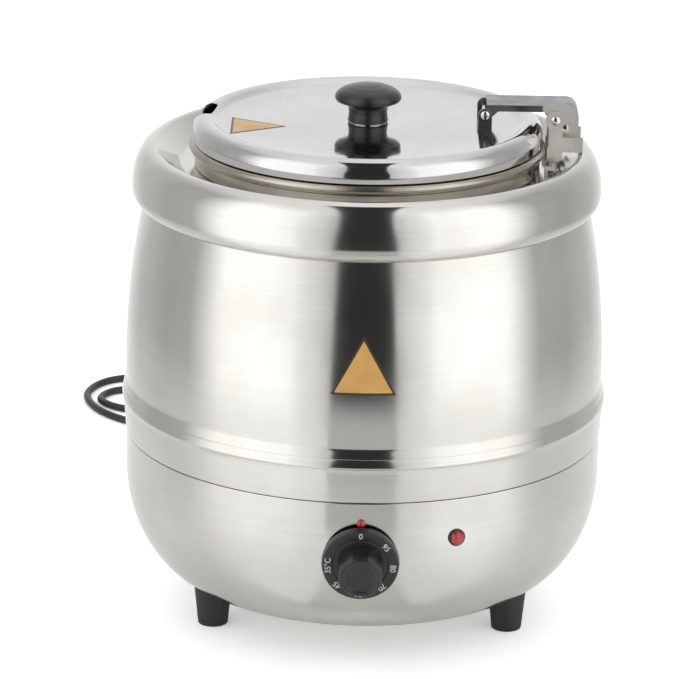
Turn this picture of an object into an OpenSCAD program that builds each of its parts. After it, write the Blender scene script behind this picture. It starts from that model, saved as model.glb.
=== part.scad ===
// Electric soup kettle: a double-skinned steel body with a water well, a lift-out
// pot, a hinged lid on a swinging arm, a thermostat dial and a mains cord.
// Millimetres, +Z up. The origin is on the floor, below the kettle's axis.
// The dial faces -Y, the lid hinge is on +X and the cord leaves at +Y.

/* [Body] */
// Outside diameter at the rib, the widest place
body_d = 340; // [320:1:370]
// Height of the side wall, from the seam to the collar
wall_h = 165; // [150:1:190]
// Depth of the rounded bowl below the seam band
bowl_h = 80; // [70:1:95]
// Height of the rubber feet below the bowl
foot_h = 24; // [18:1:30]
// Thickness of the steel sheet
sheet = 1; // [0.8:0.1:1.2]

/* [Lid and pot] */
// Gap between the lid's edge and the collar's opening
gutter = 10; // [9:0.5:13]
// Depth of the pot, from its seat to its floor
pot_depth = 228; // [190:1:235]
// Diameter of the lid knob's cap
knob_d = 46; // [40:1:52]
// Height of the lid knob above the lid
knob_h = 26; // [22:1:32]

/* [Hinge] */
// Width of the hinge arm, along the pivots
arm_w = 28.4; // [24:0.2:34]
// Distance between the two pivots of the arm
arm_l = 48.5; // [44:0.5:52]
// Radius of the pivot rivets
rivet_r = 2; // [1.5:0.1:2.5]
// Running clearance of a rivet in its hole
run_gap = 0.06; // [0.04:0.01:0.1]

/* [Controls] */
// Diameter of the dial's skirt
dial_d = 52.8; // [46:0.2:58]
// Height of the dial, from the wall to its face
dial_h = 24; // [20:1:28]
// Diameter of the pilot lamp
lamp_d = 12; // [10:0.5:14]

/* [Cord] */
// Diameter of the mains cord
cord_d = 6; // [5:0.5:8]

/* [Hidden] */
$fn = 96;

STEEL = [0.78, 0.78, 0.76];
DARK_STEEL = [0.55, 0.55, 0.55];
BLACK = [0.08, 0.08, 0.08];
BRASS_TONE = [0.8, 0.65, 0.3];
CREAM = [0.9, 0.88, 0.8];
RED = [0.7, 0.05, 0.05];
GOLD = [0.8, 0.62, 0.3];

// Levels, from the floor up
bowl_z = foot_h;
bowl_c = bowl_z + bowl_h;
seam_z = bowl_c + 27.5;
seam_gap = 0.6;
belly_z = seam_z + 48.5;
top_z = seam_z + wall_h;
seat_z = top_z + 25.5;
crest_z = top_z + 39.2;
rim_z = top_z + 39;
lid_z = top_z + 43.5;
disc_z = lid_z + 11.7;

// Radii and steps
rib_r = body_d / 2;
rib_rise = 25.4;
rib_h = 12;
rib_step = 2.8;
wall_r = rib_r - 3;
bowl_a = 57;
bowl_flat = wall_r - bowl_a;
belly_r = rib_r - 2.7;
belly_R = 540;
collar_r = rib_r - 7;
crest_r = collar_r - 14.8;
open_r = crest_r - 17.2;
seat_r = open_r - 13.5;
lid_r = open_r - gutter;
disc_r = lid_r - 17.5;
pot_r = seat_r - 4.5;
rim_tube = 3.8;
rim_r = min(lid_r - 1.5, open_r - gutter - 1.5);
well_r = seat_r + 1.5;
well_z = seat_z - pot_depth - 10;

// Radius of the side wall at a height above the belly line
function barrel_r(z) = belly_r - belly_R + sqrt(belly_R * belly_R - pow(z - belly_z, 2));
// Radius of the bowl at a height below its widest line
function bowl_r(z) = bowl_flat + bowl_a * sqrt(1 - pow((bowl_c - z) / bowl_h, 2));
// Downward tilt of the bowl's surface at that height, in degrees
function bowl_tilt(z) = atan(((bowl_c - z) / (bowl_h * bowl_h)) / ((bowl_r(z) - bowl_flat) / (bowl_a * bowl_a)));
// Points along an ellipse, from angle a0 to a1 in n steps
function arc(c, a, b, a0, a1, n) =
    [for (i = [0:n]) let (t = a0 + (a1 - a0) * i / n) [c[0] + a * cos(t), c[1] + b * sin(t)]];
function reversed(v) = [for (i = [len(v) - 1:-1:0]) v[i]];

// The outer line of the side wall, from the seam up, moved inwards by t
function wall_line(t) = concat(
    [[wall_r + 0.5 - t, seam_z + seam_gap], [rib_r - 0.9 - t, seam_z + rib_rise - 0.9]],
    [for (i = [0:10]) [rib_r - rib_step * (i / 10 - sin(i * 36) / 4 / PI) - t,
        seam_z + rib_rise + i * rib_h / 10]],
    [for (i = [1:12]) let (z = belly_z + i * (top_z - belly_z) / 12) [barrel_r(z) - t, z]]);

// The outer line of the bowl, from its flat floor up, moved inwards by t
function bowl_line(t) = concat(
    arc([bowl_flat, bowl_c], bowl_a - t, bowl_h - t, -90, 0, 14),
    [[wall_r - t, seam_z]]);

// The outer line of the collar, from its lip over the crest to the seat
function collar_line(t) = concat(
    arc([barrel_r(top_z) + 0.6, top_z + 10.5], collar_r - barrel_r(top_z) - 0.6 - t, 10.5 - t / 2, -90, 0, 8),
    arc([crest_r, top_z + 10.5], 14.8 - t, crest_z - top_z - 10.5 - t, 0, 90, 12),
    [[crest_r - 2.2, crest_z - 0.9 - t], [open_r + 1.5, seat_z + 3.2 - t],
        [open_r - 1.5, seat_z + 0.6 - t], [open_r - 4, seat_z - t], [seat_r, seat_z - t]]);

module revolve(points) {
    rotate_extrude() polygon(points);
}

// ---- Body ----

dial_z = bowl_c - 14;
dial_tilt = bowl_tilt(dial_z);
lamp_z = bowl_c;
lamp_az = 22.7;
bead_z = dial_z + dial_d / 2 + 1;
cord_z = bowl_c - 29;
cord_tilt = bowl_tilt(cord_z);
foot_R = bowl_flat + 7;
foot_angles = [208, 332, 90];
cover_r = bowl_flat - 20;
screw_r = 2;

// Places children at the dial, +Z out of the wall
module at_dial() {
    translate([0, -bowl_r(dial_z), dial_z]) rotate([90 + dial_tilt, 0, 0]) children();
}

// Places children at the pilot lamp, +Z out of the wall
module at_lamp() {
    rotate([0, 0, lamp_az]) translate([0, -wall_r, lamp_z]) rotate([90, 0, 0]) children();
}

// Places children at the cord's way out, +Z out of the wall
module at_cord() {
    translate([0, bowl_r(cord_z), cord_z]) rotate([-90 - cord_tilt, 0, 0]) children();
}

// The space that the bowl fills, as a solid
module bowl_solid() {
    revolve(concat([[0, bowl_z]], bowl_line(0), [[0, seam_z]]));
}

module lower_bowl() {
    color(STEEL) difference() {
        revolve(concat([[cover_r - 10, bowl_z]], bowl_line(0),
            reversed(bowl_line(sheet)), [[cover_r - 10, bowl_z + sheet]]));
        at_dial() translate([0, 0, -8]) cylinder(r = 5.1, h = 16);
        at_lamp() translate([0, 0, -6]) cylinder(r = lamp_d / 2 - 1.9, h = 12);
        at_cord() translate([0, 0, -8]) cylinder(r = cord_d / 2 + 3.1, h = 16);
        for (a = foot_angles) rotate([0, 0, a]) translate([foot_R, 0, 0]) cylinder(r = 2.6, h = 60);
        for (a = [45:90:315]) rotate([0, 0, a]) translate([cover_r - 5, 0, 0]) cylinder(r = screw_r + 0.1, h = 60);
        translate([0, -wall_r + 4, bead_z]) rotate([90, 0, 0]) cylinder(r = 1.6, h = 12);
    }
}

module upper_shell() {
    color(STEEL) revolve(concat(wall_line(0), [[barrel_r(top_z) - 9, top_z],
        [barrel_r(top_z) - 9, top_z - sheet], [barrel_r(top_z) - 2 * sheet, top_z - sheet]],
        reversed([for (p = wall_line(sheet)) if (p[1] < top_z - sheet) p])));
}

// Band inside the seam that the two shells are clamped to
module seam_ring() {
    color(DARK_STEEL) revolve([[wall_r - 3, seam_z - 9], [wall_r - sheet - 0.3, seam_z - 9],
        [wall_r - sheet - 0.3, seam_z + 10], [wall_r - 3, seam_z + 10]]);
}

module collar_ring() {
    color(STEEL) revolve(concat(collar_line(0), reversed(collar_line(sheet))));
}

module base_cover() {
    color(STEEL) difference() {
        revolve([[0, bowl_z - sheet], [cover_r, bowl_z - sheet], [cover_r, bowl_z], [0, bowl_z]]);
        for (a = [45:90:315]) rotate([0, 0, a]) translate([cover_r - 5, 0, 0]) cylinder(r = screw_r + 0.1, h = 60);
        for (i = [-2:2], j = [-2:2]) if (abs(i) + abs(j) < 4)
            translate([i * 16, j * 16, bowl_z - 5]) cylinder(r = 3, h = 10);
    }
}

module base_cover_screws() {
    color(DARK_STEEL) for (a = [45:90:315]) rotate([0, 0, a]) translate([cover_r - 5, 0, bowl_z - sheet - 2]) {
        cylinder(r = 3.8, h = 2);
        cylinder(r = screw_r, h = 10);
    }
}

module foot(a) {
    color(BLACK) rotate([0, 0, a]) translate([foot_R, 0, 0]) difference() {
        cylinder(r1 = 10.5, r2 = 14, h = foot_h + 12);
        translate([-foot_R, 0, 0]) bowl_solid();
        translate([0, 0, -1]) cylinder(r = 5.5, h = 9);
        cylinder(r = 2.6, h = 80);
    }
}

module foot_left() foot(foot_angles[0]);
module foot_right() foot(foot_angles[1]);
module foot_rear() foot(foot_angles[2]);

module foot_screws() {
    color(DARK_STEEL) for (a = foot_angles) rotate([0, 0, a]) translate([foot_R, 0, 4.5]) {
        cylinder(r = 4.8, h = 3.5);
        cylinder(r = 2.5, h = foot_h + 8);
    }
}

module foot_nuts() {
    color(DARK_STEEL) for (a = foot_angles) rotate([0, 0, a]) translate([foot_R, 0, foot_h + 4.4]) difference() {
        cylinder(r = 4.6, h = 4, $fn = 6);
        translate([0, 0, -1]) cylinder(r = 2.5, h = 6);
    }
}

// ---- Well, pot and heating ----

module water_well() {
    color(STEEL) revolve([[0, well_z], [well_r, well_z], [well_r, seat_z - sheet], [well_r - sheet, seat_z - sheet],
        [well_r - sheet, well_z + sheet], [0, well_z + sheet]]);
}

module inner_pot() {
    pot_z = seat_z - pot_depth;
    step_r = seat_r + 2;
    color(STEEL) union() {
        revolve(concat([[0, pot_z], [pot_r - 8, pot_z]],
            arc([pot_r - 8, pot_z + 8], 8, 8, -80, 0, 6),
            [[pot_r, seat_z], [step_r, seat_z], [step_r, rim_z], [step_r - 0.8, rim_z],
                [step_r - 0.8, seat_z + 0.8], [pot_r - 0.8, seat_z + 0.8]],
            arc([pot_r - 8, pot_z + 8], 7.2, 7.2, 0, -80, 6),
            [[0, pot_z + 0.8]]));
        rotate_extrude() translate([rim_r, rim_z]) circle(r = rim_tube);
    }
}

element_R = 80;
element_r = 4;
element_z = well_z - element_r;
stud_R = 64;

module heating_element() {
    color(DARK_STEEL) union() {
        rotate([0, 0, -75]) rotate_extrude(angle = 330) translate([element_R, element_z]) circle(r = element_r);
        for (a = [-75, 255]) rotate([0, 0, a]) translate([element_R, 0, element_z - 24])
            cylinder(r = element_r, h = 24);
    }
}

module element_clamp() {
    color(STEEL) difference() {
        revolve([[stud_R - 8, element_z - element_r - 1], [element_R + 10, element_z - element_r - 1],
            [element_R + 10, element_z - element_r], [stud_R - 8, element_z - element_r]]);
        for (a = [-75, 255]) rotate([0, 0, a]) translate([element_R, 0, 0]) cylinder(r = element_r + 1, h = 200);
        for (a = [0:90:270]) rotate([0, 0, a]) translate([stud_R, 0, 0]) cylinder(r = 2.2, h = 200);
    }
}

// Studs welded under the well, each with its nut
module clamp_nuts() {
    color(DARK_STEEL) for (a = [0:90:270]) rotate([0, 0, a]) translate([stud_R, 0, 0]) {
        translate([0, 0, element_z - element_r - 8]) cylinder(r = 2, h = well_z - element_z + element_r + 8);
        translate([0, 0, element_z - element_r - 4.5]) cylinder(r = 4, h = 3.5, $fn = 6);
    }
}

// ---- Electrical parts ----

box_back = 32;
module thermostat_body() {
    color(CREAM) at_dial() difference() {
        union() {
            translate([-18, -16, -box_back]) cube([36, 32, box_back - 5]);
            translate([0, 0, -6]) cylinder(r = 5, h = 7.9);
        }
        translate([0, 0, -24]) cylinder(r = 3.06, h = 30);
    }
}

module thermostat_nut() {
    color(DARK_STEEL) at_dial() difference() {
        cylinder(r = 8, h = 2, $fn = 6);
        translate([0, 0, -1]) cylinder(r = 5.03, h = 5);
    }
}

module sensor_bulb() {
    color(BRASS_TONE) translate([0, -well_r - 3, dial_z + 2]) cylinder(r = 3, h = 60);
}

// Thin tube from the back of the thermostat to the bulb
module capillary_tube() {
    length = bowl_r(dial_z) - box_back - well_r - 6.5;
    color(BRASS_TONE) at_dial() translate([0, 6, -box_back - length]) cylinder(r = 0.8, h = length);
}

module thermal_cutout() {
    color(CREAM) translate([0, 0, well_z - 8]) cylinder(r = 9, h = 8);
}

module terminal_block() {
    color(CREAM) translate([-22, bowl_flat - 26, bowl_z + sheet]) difference() {
        cube([44, 16, 16]);
        for (i = [0:2]) translate([8 + i * 14, 8, 6]) cylinder(r = 3, h = 12);
    }
}

module earth_stud() {
    color(BRASS_TONE) translate([45, bowl_flat - 22, bowl_z + sheet]) {
        cylinder(r = 2.5, h = 16);
        translate([0, 0, 5]) cylinder(r = 5, h = 3, $fn = 6);
    }
}

module lamp_housing() {
    color(BLACK) at_lamp() difference() {
        union() {
            translate([0, 0, -24]) cylinder(r = lamp_d / 2 - 2, h = 24.5);
            difference() {
                translate([0, 0, 0.2]) cylinder(r = lamp_d / 2, h = 1.4);
                translate([0, 0, 0.8]) cylinder(r = lamp_d / 2 - 1, h = 2);
            }
        }
        translate([0, 0, -20]) cylinder(r = lamp_d / 2 - 3, h = 22);
    }
}

module lamp_lens() {
    color(RED) at_lamp() union() {
        translate([0, 0, -6]) cylinder(r = lamp_d / 2 - 3.1, h = 7);
        translate([0, 0, 0.8]) cylinder(r = lamp_d / 2 - 1.1, h = 1);
        translate([0, 0, 1.8]) rotate_extrude()
            polygon(concat([[0, 0]], arc([0, 0], lamp_d / 2 - 1.1, 2.4, 0, 90, 5)));
    }
}

module index_bead() {
    color(RED) translate([0, -wall_r, bead_z]) rotate([90, 0, 0]) union() {
        translate([0, 0, -5]) cylinder(r = 1.5, h = 5.2);
        translate([0, 0, 0.1]) rotate_extrude() polygon(concat([[0, 0]], arc([0, 0], 3, 2.7, 0, 90, 6)));
    }
}

// Blank triangular notice, bent to the wall
label_w = 44;
label_h = 40;
label_z = belly_z + 28;
module triangle(w, h) {
    polygon([[-w / 2, 0], [w / 2, 0], [0, h]]);
}
module front_label() {
    color(GOLD) intersection() {
        revolve(concat([for (i = [0:6]) let (z = label_z + i * label_h / 6) [barrel_r(z) + 0.2, z]],
            [for (i = [6:-1:0]) let (z = label_z + i * label_h / 6) [barrel_r(z) + 0.02, z]]));
        translate([0, -rib_r + 30, label_z]) rotate([90, 0, 0]) linear_extrude(40) triangle(label_w, label_h);
    }
}

// ---- Hinge ----

pivot_x = open_r - 2;
pivot_z = lid_z + 18.5;
lid_pivot_x = pivot_x - arm_l;
lid_pivot_z = pivot_z + 3;
arm_top = pivot_z + 10;
cheek_t = 1.2;
side_gap = 0.3;
strap_t = 1.5;
strap_y = arm_w / 2 + side_gap;
eye_r = 6.8;
gutter_in = rim_r + rim_tube + 0.4;
gutter_out = sqrt(pow(open_r - 4.3, 2) - pow(strap_y + strap_t, 2));
// Blocks in the gutter beside the straps, each with its screw
lug_r = gutter_in + 4.4;
lug_h = 6.5;
lug_l = 12;
lug_w = 8;
lug_az = asin((strap_y - 0.4) / lug_r) + atan(lug_l / 2 / lug_r);
screw_head_r = 3.8;
wing_h = 10.5;

// Places children at the middle of both lugs
module at_lugs() {
    for (s = [0, 1]) mirror([0, s, 0]) rotate([0, 0, lug_az]) translate([lug_r, 0, 0]) children();
}

// A plate standing in the XZ plane, from y to y + t
module side_plate(y, t) {
    translate([0, y + t, 0]) rotate([90, 0, 0]) linear_extrude(t) children();
}

// Both side plates of a bracket, mirrored about the XZ plane
module both_sides(y, t) {
    for (s = [0, 1]) mirror([0, s, 0]) side_plate(y, t) children();
}

module disc_at(x, z, r) {
    translate([x, z]) circle(r = r);
}

module body_bracket() {
    color(STEEL) difference() {
        union() {
            both_sides(strap_y, strap_t) difference() {
                union() {
                    disc_at(pivot_x, pivot_z, eye_r);
                    translate([pivot_x - 4.5, crest_z + 0.5]) square([9.5, pivot_z - crest_z]);
                    polygon([[gutter_in, seat_z], [gutter_out, seat_z], [gutter_out, seat_z + 4.5],
                        [pivot_x + 5, seat_z + 8.5], [pivot_x + 5, crest_z + 4], [gutter_in, crest_z + 4]]);
                    translate([pivot_x + 4, crest_z + 0.5]) square([crest_r - pivot_x - 4, wing_h]);
                }
                disc_at(pivot_x, pivot_z, rivet_r + run_gap);
            }
            translate([gutter_in, -strap_y - 0.01, seat_z])
                cube([gutter_out - gutter_in, 2 * strap_y + 0.02, strap_t]);
            translate([pivot_x + 6, -strap_y - 0.01, crest_z + 0.5])
                cube([crest_r - pivot_x - 6, 2 * strap_y + 0.02, 1.5]);
            at_lugs() translate([-lug_w / 2, lug_l / 2, seat_z]) rotate([90, 0, 0]) linear_extrude(lug_l)
                polygon([[0, 0], [2.4, 0], [2.4, 3.6], [lug_w, 3.6], [lug_w, lug_h], [0, lug_h]]);
        }
        at_lugs() translate([0, 0, seat_z]) cylinder(r = 1.6, h = 600);
    }
}

module bracket_screws() {
    color(DARK_STEEL) at_lugs() translate([0, 0, seat_z + lug_h]) {
        rotate_extrude() polygon(concat([[0, 0]], arc([0, 0], screw_head_r, 2, 0, 90, 5)));
        translate([0, 0, 1 - lug_h]) cylinder(r = 1.55, h = lug_h - 1);
    }
}

// A rivet along Y: a shank and two domed heads outside the straps
module pivot_rivet(x, z) {
    y = strap_y + strap_t;
    translate([x, 0, z]) rotate([90, 0, 0]) {
        translate([0, 0, -y]) cylinder(r = rivet_r, h = 2 * y);
        for (s = [0, 1]) mirror([0, 0, s]) translate([0, 0, y])
            rotate_extrude() polygon(concat([[0, 0]], arc([0, 0], 3.2, 1.4, 0, 90, 5)));
    }
}

module arm_pivot_rivet() color(STEEL) pivot_rivet(pivot_x, pivot_z);
module lid_pivot_rivet() color(STEEL) pivot_rivet(lid_pivot_x, lid_pivot_z);

arm_end = pivot_x + 16;
arm_start = lid_pivot_x + 1;
arm_sheet = 1.5;

// Outline of the arm's side cheek: an eye, a narrow flange and a deep rounded end
arm_cheek = concat([[arm_start, arm_top]],
    arc([lid_pivot_x, lid_pivot_z], 4.3, 4.3, 76, 320, 10),
    [[lid_pivot_x + 9, arm_top - 4.5], [pivot_x - 8, arm_top - 4.5], [pivot_x - 5, arm_top - 7],
        [pivot_x - 5, pivot_z - 6], [pivot_x - 2, pivot_z - 9], [arm_end, pivot_z - 9]],
    arc([arm_end - 8, arm_top - 8], 8, 8, 0, 90, 8));
// Outline of the sheet that closes the arm's top and rounded end
arm_web = concat([[arm_start, arm_top], [arm_start, arm_top - arm_sheet]],
    arc([arm_end - 8, arm_top - 8], 8 - arm_sheet, 8 - arm_sheet, 90, 0, 8),
    [[arm_end - arm_sheet, pivot_z - 9], [arm_end, pivot_z - 9]],
    arc([arm_end - 8, arm_top - 8], 8, 8, 0, 90, 8));

module hinge_arm() {
    color(DARK_STEEL) difference() {
        union() {
            both_sides(arm_w / 2 - cheek_t, cheek_t) polygon(arm_cheek);
            side_plate(-arm_w / 2, arm_w) polygon(arm_web);
        }
        for (p = [[pivot_x, pivot_z, rivet_r + run_gap], [lid_pivot_x, lid_pivot_z, rivet_r + run_gap],
                [pivot_x + 6.5, pivot_z - 5.5, 1.6]])
            translate([p[0], arm_w, p[1]]) rotate([90, 0, 0]) cylinder(r = p[2], h = 2 * arm_w);
    }
}

module arm_cross_pin() {
    color(STEEL) translate([pivot_x + 6.5, 0, pivot_z - 5.5]) rotate([90, 0, 0])
        translate([0, 0, -arm_w / 2]) cylinder(r = 1.6, h = arm_w);
}

// ---- Lid ----

bead_top = lid_z + 15.5;
notch_az = 172;

module lid_cover() {
    outer = concat([[lid_r, lid_z], [lid_r, lid_z + 6]],
        arc([lid_r - 9, lid_z + 6], 9, bead_top - lid_z - 6, 8, 90, 8),
        [[disc_r + 3, disc_z + 1.6], [disc_r, disc_z], [0, disc_z]]);
    inner = concat([[0, disc_z - sheet], [disc_r - 0.4, disc_z - sheet], [disc_r + 3.4, disc_z + 0.5]],
        arc([lid_r - 9, lid_z + 6], 9 - sheet, bead_top - lid_z - 6 - sheet, 90, 8, 8),
        [[lid_r - sheet, lid_z + 6], [lid_r - sheet, lid_z]]);
    color(STEEL) difference() {
        revolve(concat(outer, inner));
        rotate([0, 0, notch_az]) translate([disc_r + 4, -16, lid_z - 5]) cube([40, 32, 40]);
        translate([0, 0, lid_z]) cylinder(r = 2.6, h = 40);
    }
}

module locating_ring() {
    r = lid_r - 9.5;
    color(STEEL) revolve([[r - 1, lid_z - 8], [r, lid_z - 8], [r, disc_z - sheet - 0.05],
        [r - 9, disc_z - sheet - 0.05], [r - 9, disc_z - sheet - 1], [r - 1, disc_z - sheet - 1]]);
}

module lid_bracket() {
    w = 9.5;
    color(STEEL) union() {
        both_sides(strap_y, strap_t) difference() {
            union() {
                disc_at(lid_pivot_x, lid_pivot_z, w / 2);
                translate([lid_pivot_x - w / 2, disc_z]) square([w, lid_pivot_z - disc_z]);
            }
            disc_at(lid_pivot_x, lid_pivot_z, rivet_r + run_gap);
        }
        translate([lid_pivot_x - w / 2, -strap_y - 0.01, disc_z]) cube([w, 2 * strap_y + 0.02, 1.2]);
    }
}

module lid_knob() {
    r = knob_d / 2;
    color(BLACK) translate([0, 0, disc_z + 0.8]) difference() {
        revolve(concat([[0, 0], [14, 0], [13.4, 5], [14, knob_h - 14], [r - 3, knob_h - 12]],
            arc([r - 3, knob_h - 9], 3, 3, -90, 0, 5),
            arc([0, knob_h - 9], r, 9, 0, 90, 10)));
        translate([0, 0, -1]) cylinder(r = 2.5, h = 13);
    }
}

module knob_screw() {
    color(DARK_STEEL) translate([0, 0, disc_z - sheet - 3]) {
        cylinder(r = 4.5, h = 3);
        cylinder(r = 2.45, h = 14);
    }
}

module knob_washer() {
    color(STEEL) translate([0, 0, disc_z]) difference() {
        cylinder(r = 13, h = 0.8);
        translate([0, 0, -1]) cylinder(r = 2.6, h = 4);
    }
}

module lid_label() {
    color(GOLD) translate([-94, -17, disc_z]) rotate([0, 0, -90]) linear_extrude(0.2) triangle(label_w, label_h - 2);
}

// ---- Dial ----

module dial_shaft() {
    color(DARK_STEEL) at_dial() translate([0, 0, -22]) cylinder(r = 3, h = 36);
}

module dial_knob() {
    r = dial_d / 2;
    color(BLACK) at_dial() difference() {
        union() {
            revolve([[0, 3], [r - 2, 3], [r - 1.6, 1], [r, 1], [r - 1, 6], [0, 6]]);
            translate([0, 0, 5]) rotate([0, 0, 22.5]) cylinder(r = 16.2, h = dial_h - 5, $fn = 8);
            translate([0, 0, 2.3]) cylinder(r = 6, h = 3);
        }
        translate([0, 0, -1]) cylinder(r = 3.02, h = 15);
    }
}

// ---- Cord ----

dial_reach = bowl_r(dial_z) + dial_h * cos(dial_tilt) + 15 * sin(dial_tilt);
sleeve_r = cord_d / 2 + 2.5;
sleeve_l = (dial_reach - bowl_r(cord_z) - sleeve_r * sin(cord_tilt)) / cos(cord_tilt);
cord_r = cord_d / 2;

module cord_sleeve() {
    color(BLACK) at_cord() difference() {
        union() {
            translate([0, 0, -9]) cylinder(r = cord_r + 3, h = 10);
            translate([0, 0, 1]) cylinder(r = cord_r + 6, h = 5);
            translate([0, 0, 5]) cylinder(r1 = cord_r + 4, r2 = sleeve_r, h = sleeve_l - 5);
        }
        translate([0, 0, -10]) cylinder(r = cord_r + 0.05, h = sleeve_l + 20);
    }
}

module gland_nut() {
    color(BLACK) at_cord() translate([0, 0, -sheet - 4.6]) difference() {
        cylinder(r = cord_r + 7, h = 4, $fn = 6);
        translate([0, 0, -1]) cylinder(r = cord_r + 3, h = 6);
    }
}

plug_x = -22;
plug_y = 432;
plug_r = 19.5;
// Way of the cord over the floor: x, y and height above the lying cord
function exit_at(d) = [0, bowl_r(cord_z) + d * cos(cord_tilt), cord_z - d * sin(cord_tilt) - cord_r];
ROUTE = concat([for (d = [-4, 12, sleeve_l + 2, sleeve_l + 10]) exit_at(d)], [
    [-2, 216, 48], [-8, 236, 26], [-18, 256, 9], [-34, 276, 0], [-60, 298, 0], [-95, 322, 0],
    [-130, 340, 0], [-165, 354, 0], [-196, 372, 0], [-218, 400, 0], [-226, 434, 0],
    [-214, 464, 0], [-188, 478, 0], [-150, 482, 0], [-90, 482, 0], [-20, 482, 0], [50, 482, 0],
    [100, 480, 0], [138, 464, 0], [152, 432, 0], [138, 400, 0], [100, 386, 0], [40, 384, 0],
    [-30, 384, 0], [-100, 386, 0], [-160, 390, 0], [-196, 398, 0], [-214, 418, 0],
    [-206, 440, 0], [-180, 448, 0], [-150, 444, 1], [-120, 438, 6], [-92, 433, 13],
    [-76, 432, 16.5], [-60, 432, 16.5]]);
sides = 8;
rings = 78;

// Smooth curve through the route: a point at u, where whole numbers are route points
function route_point(u) = let (n = len(ROUTE) - 1, i = min(floor(u), n - 1), t = u - i,
    p0 = ROUTE[max(i - 1, 0)], p1 = ROUTE[i], p2 = ROUTE[i + 1], p3 = ROUTE[min(i + 2, n)])
    (p1 * 2 + (p2 - p0) * t + (p0 * 2 - p1 * 5 + p2 * 4 - p3) * t * t
        + (p1 * 3 - p0 - p2 * 3 + p3) * t * t * t) / 2 + [0, 0, cord_r];
function unit(v) = v / norm(v);
tube_u = [for (i = [0:rings]) i * (len(ROUTE) - 1) / rings];
tube_p = [for (u = tube_u) route_point(u)];
tube_t = [for (i = [0:rings]) unit(tube_p[min(i + 1, rings)] - tube_p[max(i - 1, 0)])];

module power_cord() {
    pts = [for (i = [0:rings]) let (t = tube_t[i], s = unit(cross(t, [0.02, 0.01, 1])), n = cross(s, t))
        for (k = [0:sides - 1]) let (a = 360 * (k + 0.5) / sides) tube_p[i] + s * cord_r * cos(a) + n * cord_r * sin(a)];
    walls = [for (i = [0:rings - 1]) for (k = [0:sides - 1]) let (j = (k + 1) % sides)
        [i * sides + k, (i + 1) * sides + k, (i + 1) * sides + j, i * sides + j]];
    color(BLACK) polyhedron(pts, concat(walls, [[for (k = [0:sides - 1]) k],
        [for (k = [sides - 1:-1:0]) rings * sides + k]]));
}

// Places children at the plug, +Z towards its pins
module at_plug() {
    translate([plug_x, plug_y, plug_r]) rotate([0, 90, 0]) children();
}

module plug_body() {
    color(BLACK) at_plug() difference() {
        revolve([[0, -38], [4.5, -38], [6.5, -16], [12, -12], [16, 0], [plug_r, 4], [plug_r, 16], [18, 18], [0, 18]]);
        for (s = [-1, 1]) translate([0, s * 9.5, 6]) cylinder(r = 2.02, h = 14);
    }
}

module plug_pins() {
    color(DARK_STEEL) at_plug() for (s = [-1, 1]) translate([0, s * 9.5, 0]) {
        translate([0, 0, 6]) cylinder(r = 2, h = 12);
        translate([0, 0, 18]) cylinder(r = 2.4, h = 19);
    }
}

// ---- Nodes ----

lower_bowl();
upper_shell();
seam_ring();
collar_ring();
base_cover();
base_cover_screws();
foot_left();
foot_right();
foot_rear();
foot_screws();
foot_nuts();
water_well();
inner_pot();
heating_element();
element_clamp();
clamp_nuts();
thermostat_body();
thermostat_nut();
sensor_bulb();
capillary_tube();
thermal_cutout();
terminal_block();
earth_stud();
lamp_housing();
lamp_lens();
index_bead();
front_label();
body_bracket();
bracket_screws();
arm_pivot_rivet();
hinge_arm();
arm_cross_pin();
lid_pivot_rivet();
lid_cover();
lid_bracket();
locating_ring();
lid_knob();
knob_screw();
knob_washer();
lid_label();
dial_shaft();
dial_knob();
cord_sleeve();
gland_nut();
power_cord();
plug_body();
plug_pins();
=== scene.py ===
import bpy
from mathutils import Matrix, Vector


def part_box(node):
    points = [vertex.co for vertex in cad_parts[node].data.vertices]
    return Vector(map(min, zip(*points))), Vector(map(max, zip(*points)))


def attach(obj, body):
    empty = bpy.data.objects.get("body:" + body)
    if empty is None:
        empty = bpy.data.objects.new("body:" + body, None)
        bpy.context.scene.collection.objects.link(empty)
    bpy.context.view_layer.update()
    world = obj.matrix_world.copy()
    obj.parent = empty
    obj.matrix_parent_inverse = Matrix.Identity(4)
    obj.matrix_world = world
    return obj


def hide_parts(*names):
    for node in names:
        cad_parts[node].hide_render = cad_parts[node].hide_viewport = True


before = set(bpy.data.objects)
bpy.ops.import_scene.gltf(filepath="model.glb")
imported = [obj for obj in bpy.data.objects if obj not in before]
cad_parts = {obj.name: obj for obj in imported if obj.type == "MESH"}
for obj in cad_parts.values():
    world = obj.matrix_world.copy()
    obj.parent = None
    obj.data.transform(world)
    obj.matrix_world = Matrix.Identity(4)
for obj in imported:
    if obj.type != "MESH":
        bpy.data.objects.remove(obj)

"""Dresses an electric soup kettle: spun steel body, lift-out pot, hinged lid, dial and cord.

All sizes in the classes are millimetres in the kettle's own frame: +Z up, the dial at -Y,
the lid's hinge at +X and the cord at +Y. Surfaces are worked out as numpy grids and put
into the mesh in one go, each at its place, so that every object stays at the origin.
"""

import logging
import math
from dataclasses import dataclass, field
from enum import Enum

import bmesh
import bpy
import numpy as np
from mathutils import Matrix, Vector

LOG = logging.getLogger("soup_kettle")
MM = 0.001
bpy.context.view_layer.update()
TURNS = 216


# ---------------------------------------------------------------- finishes


class Lay(Enum):
    """Which way the polishing marks of a metal run."""

    ROUND = "rings about the kettle's axis, left by spinning"
    ALONG_X = "straight lines along X, left by a belt"
    ALONG_Y = "straight lines along Y, left by a belt"
    NONE = "no lines, as on a plated or turned part"


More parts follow.
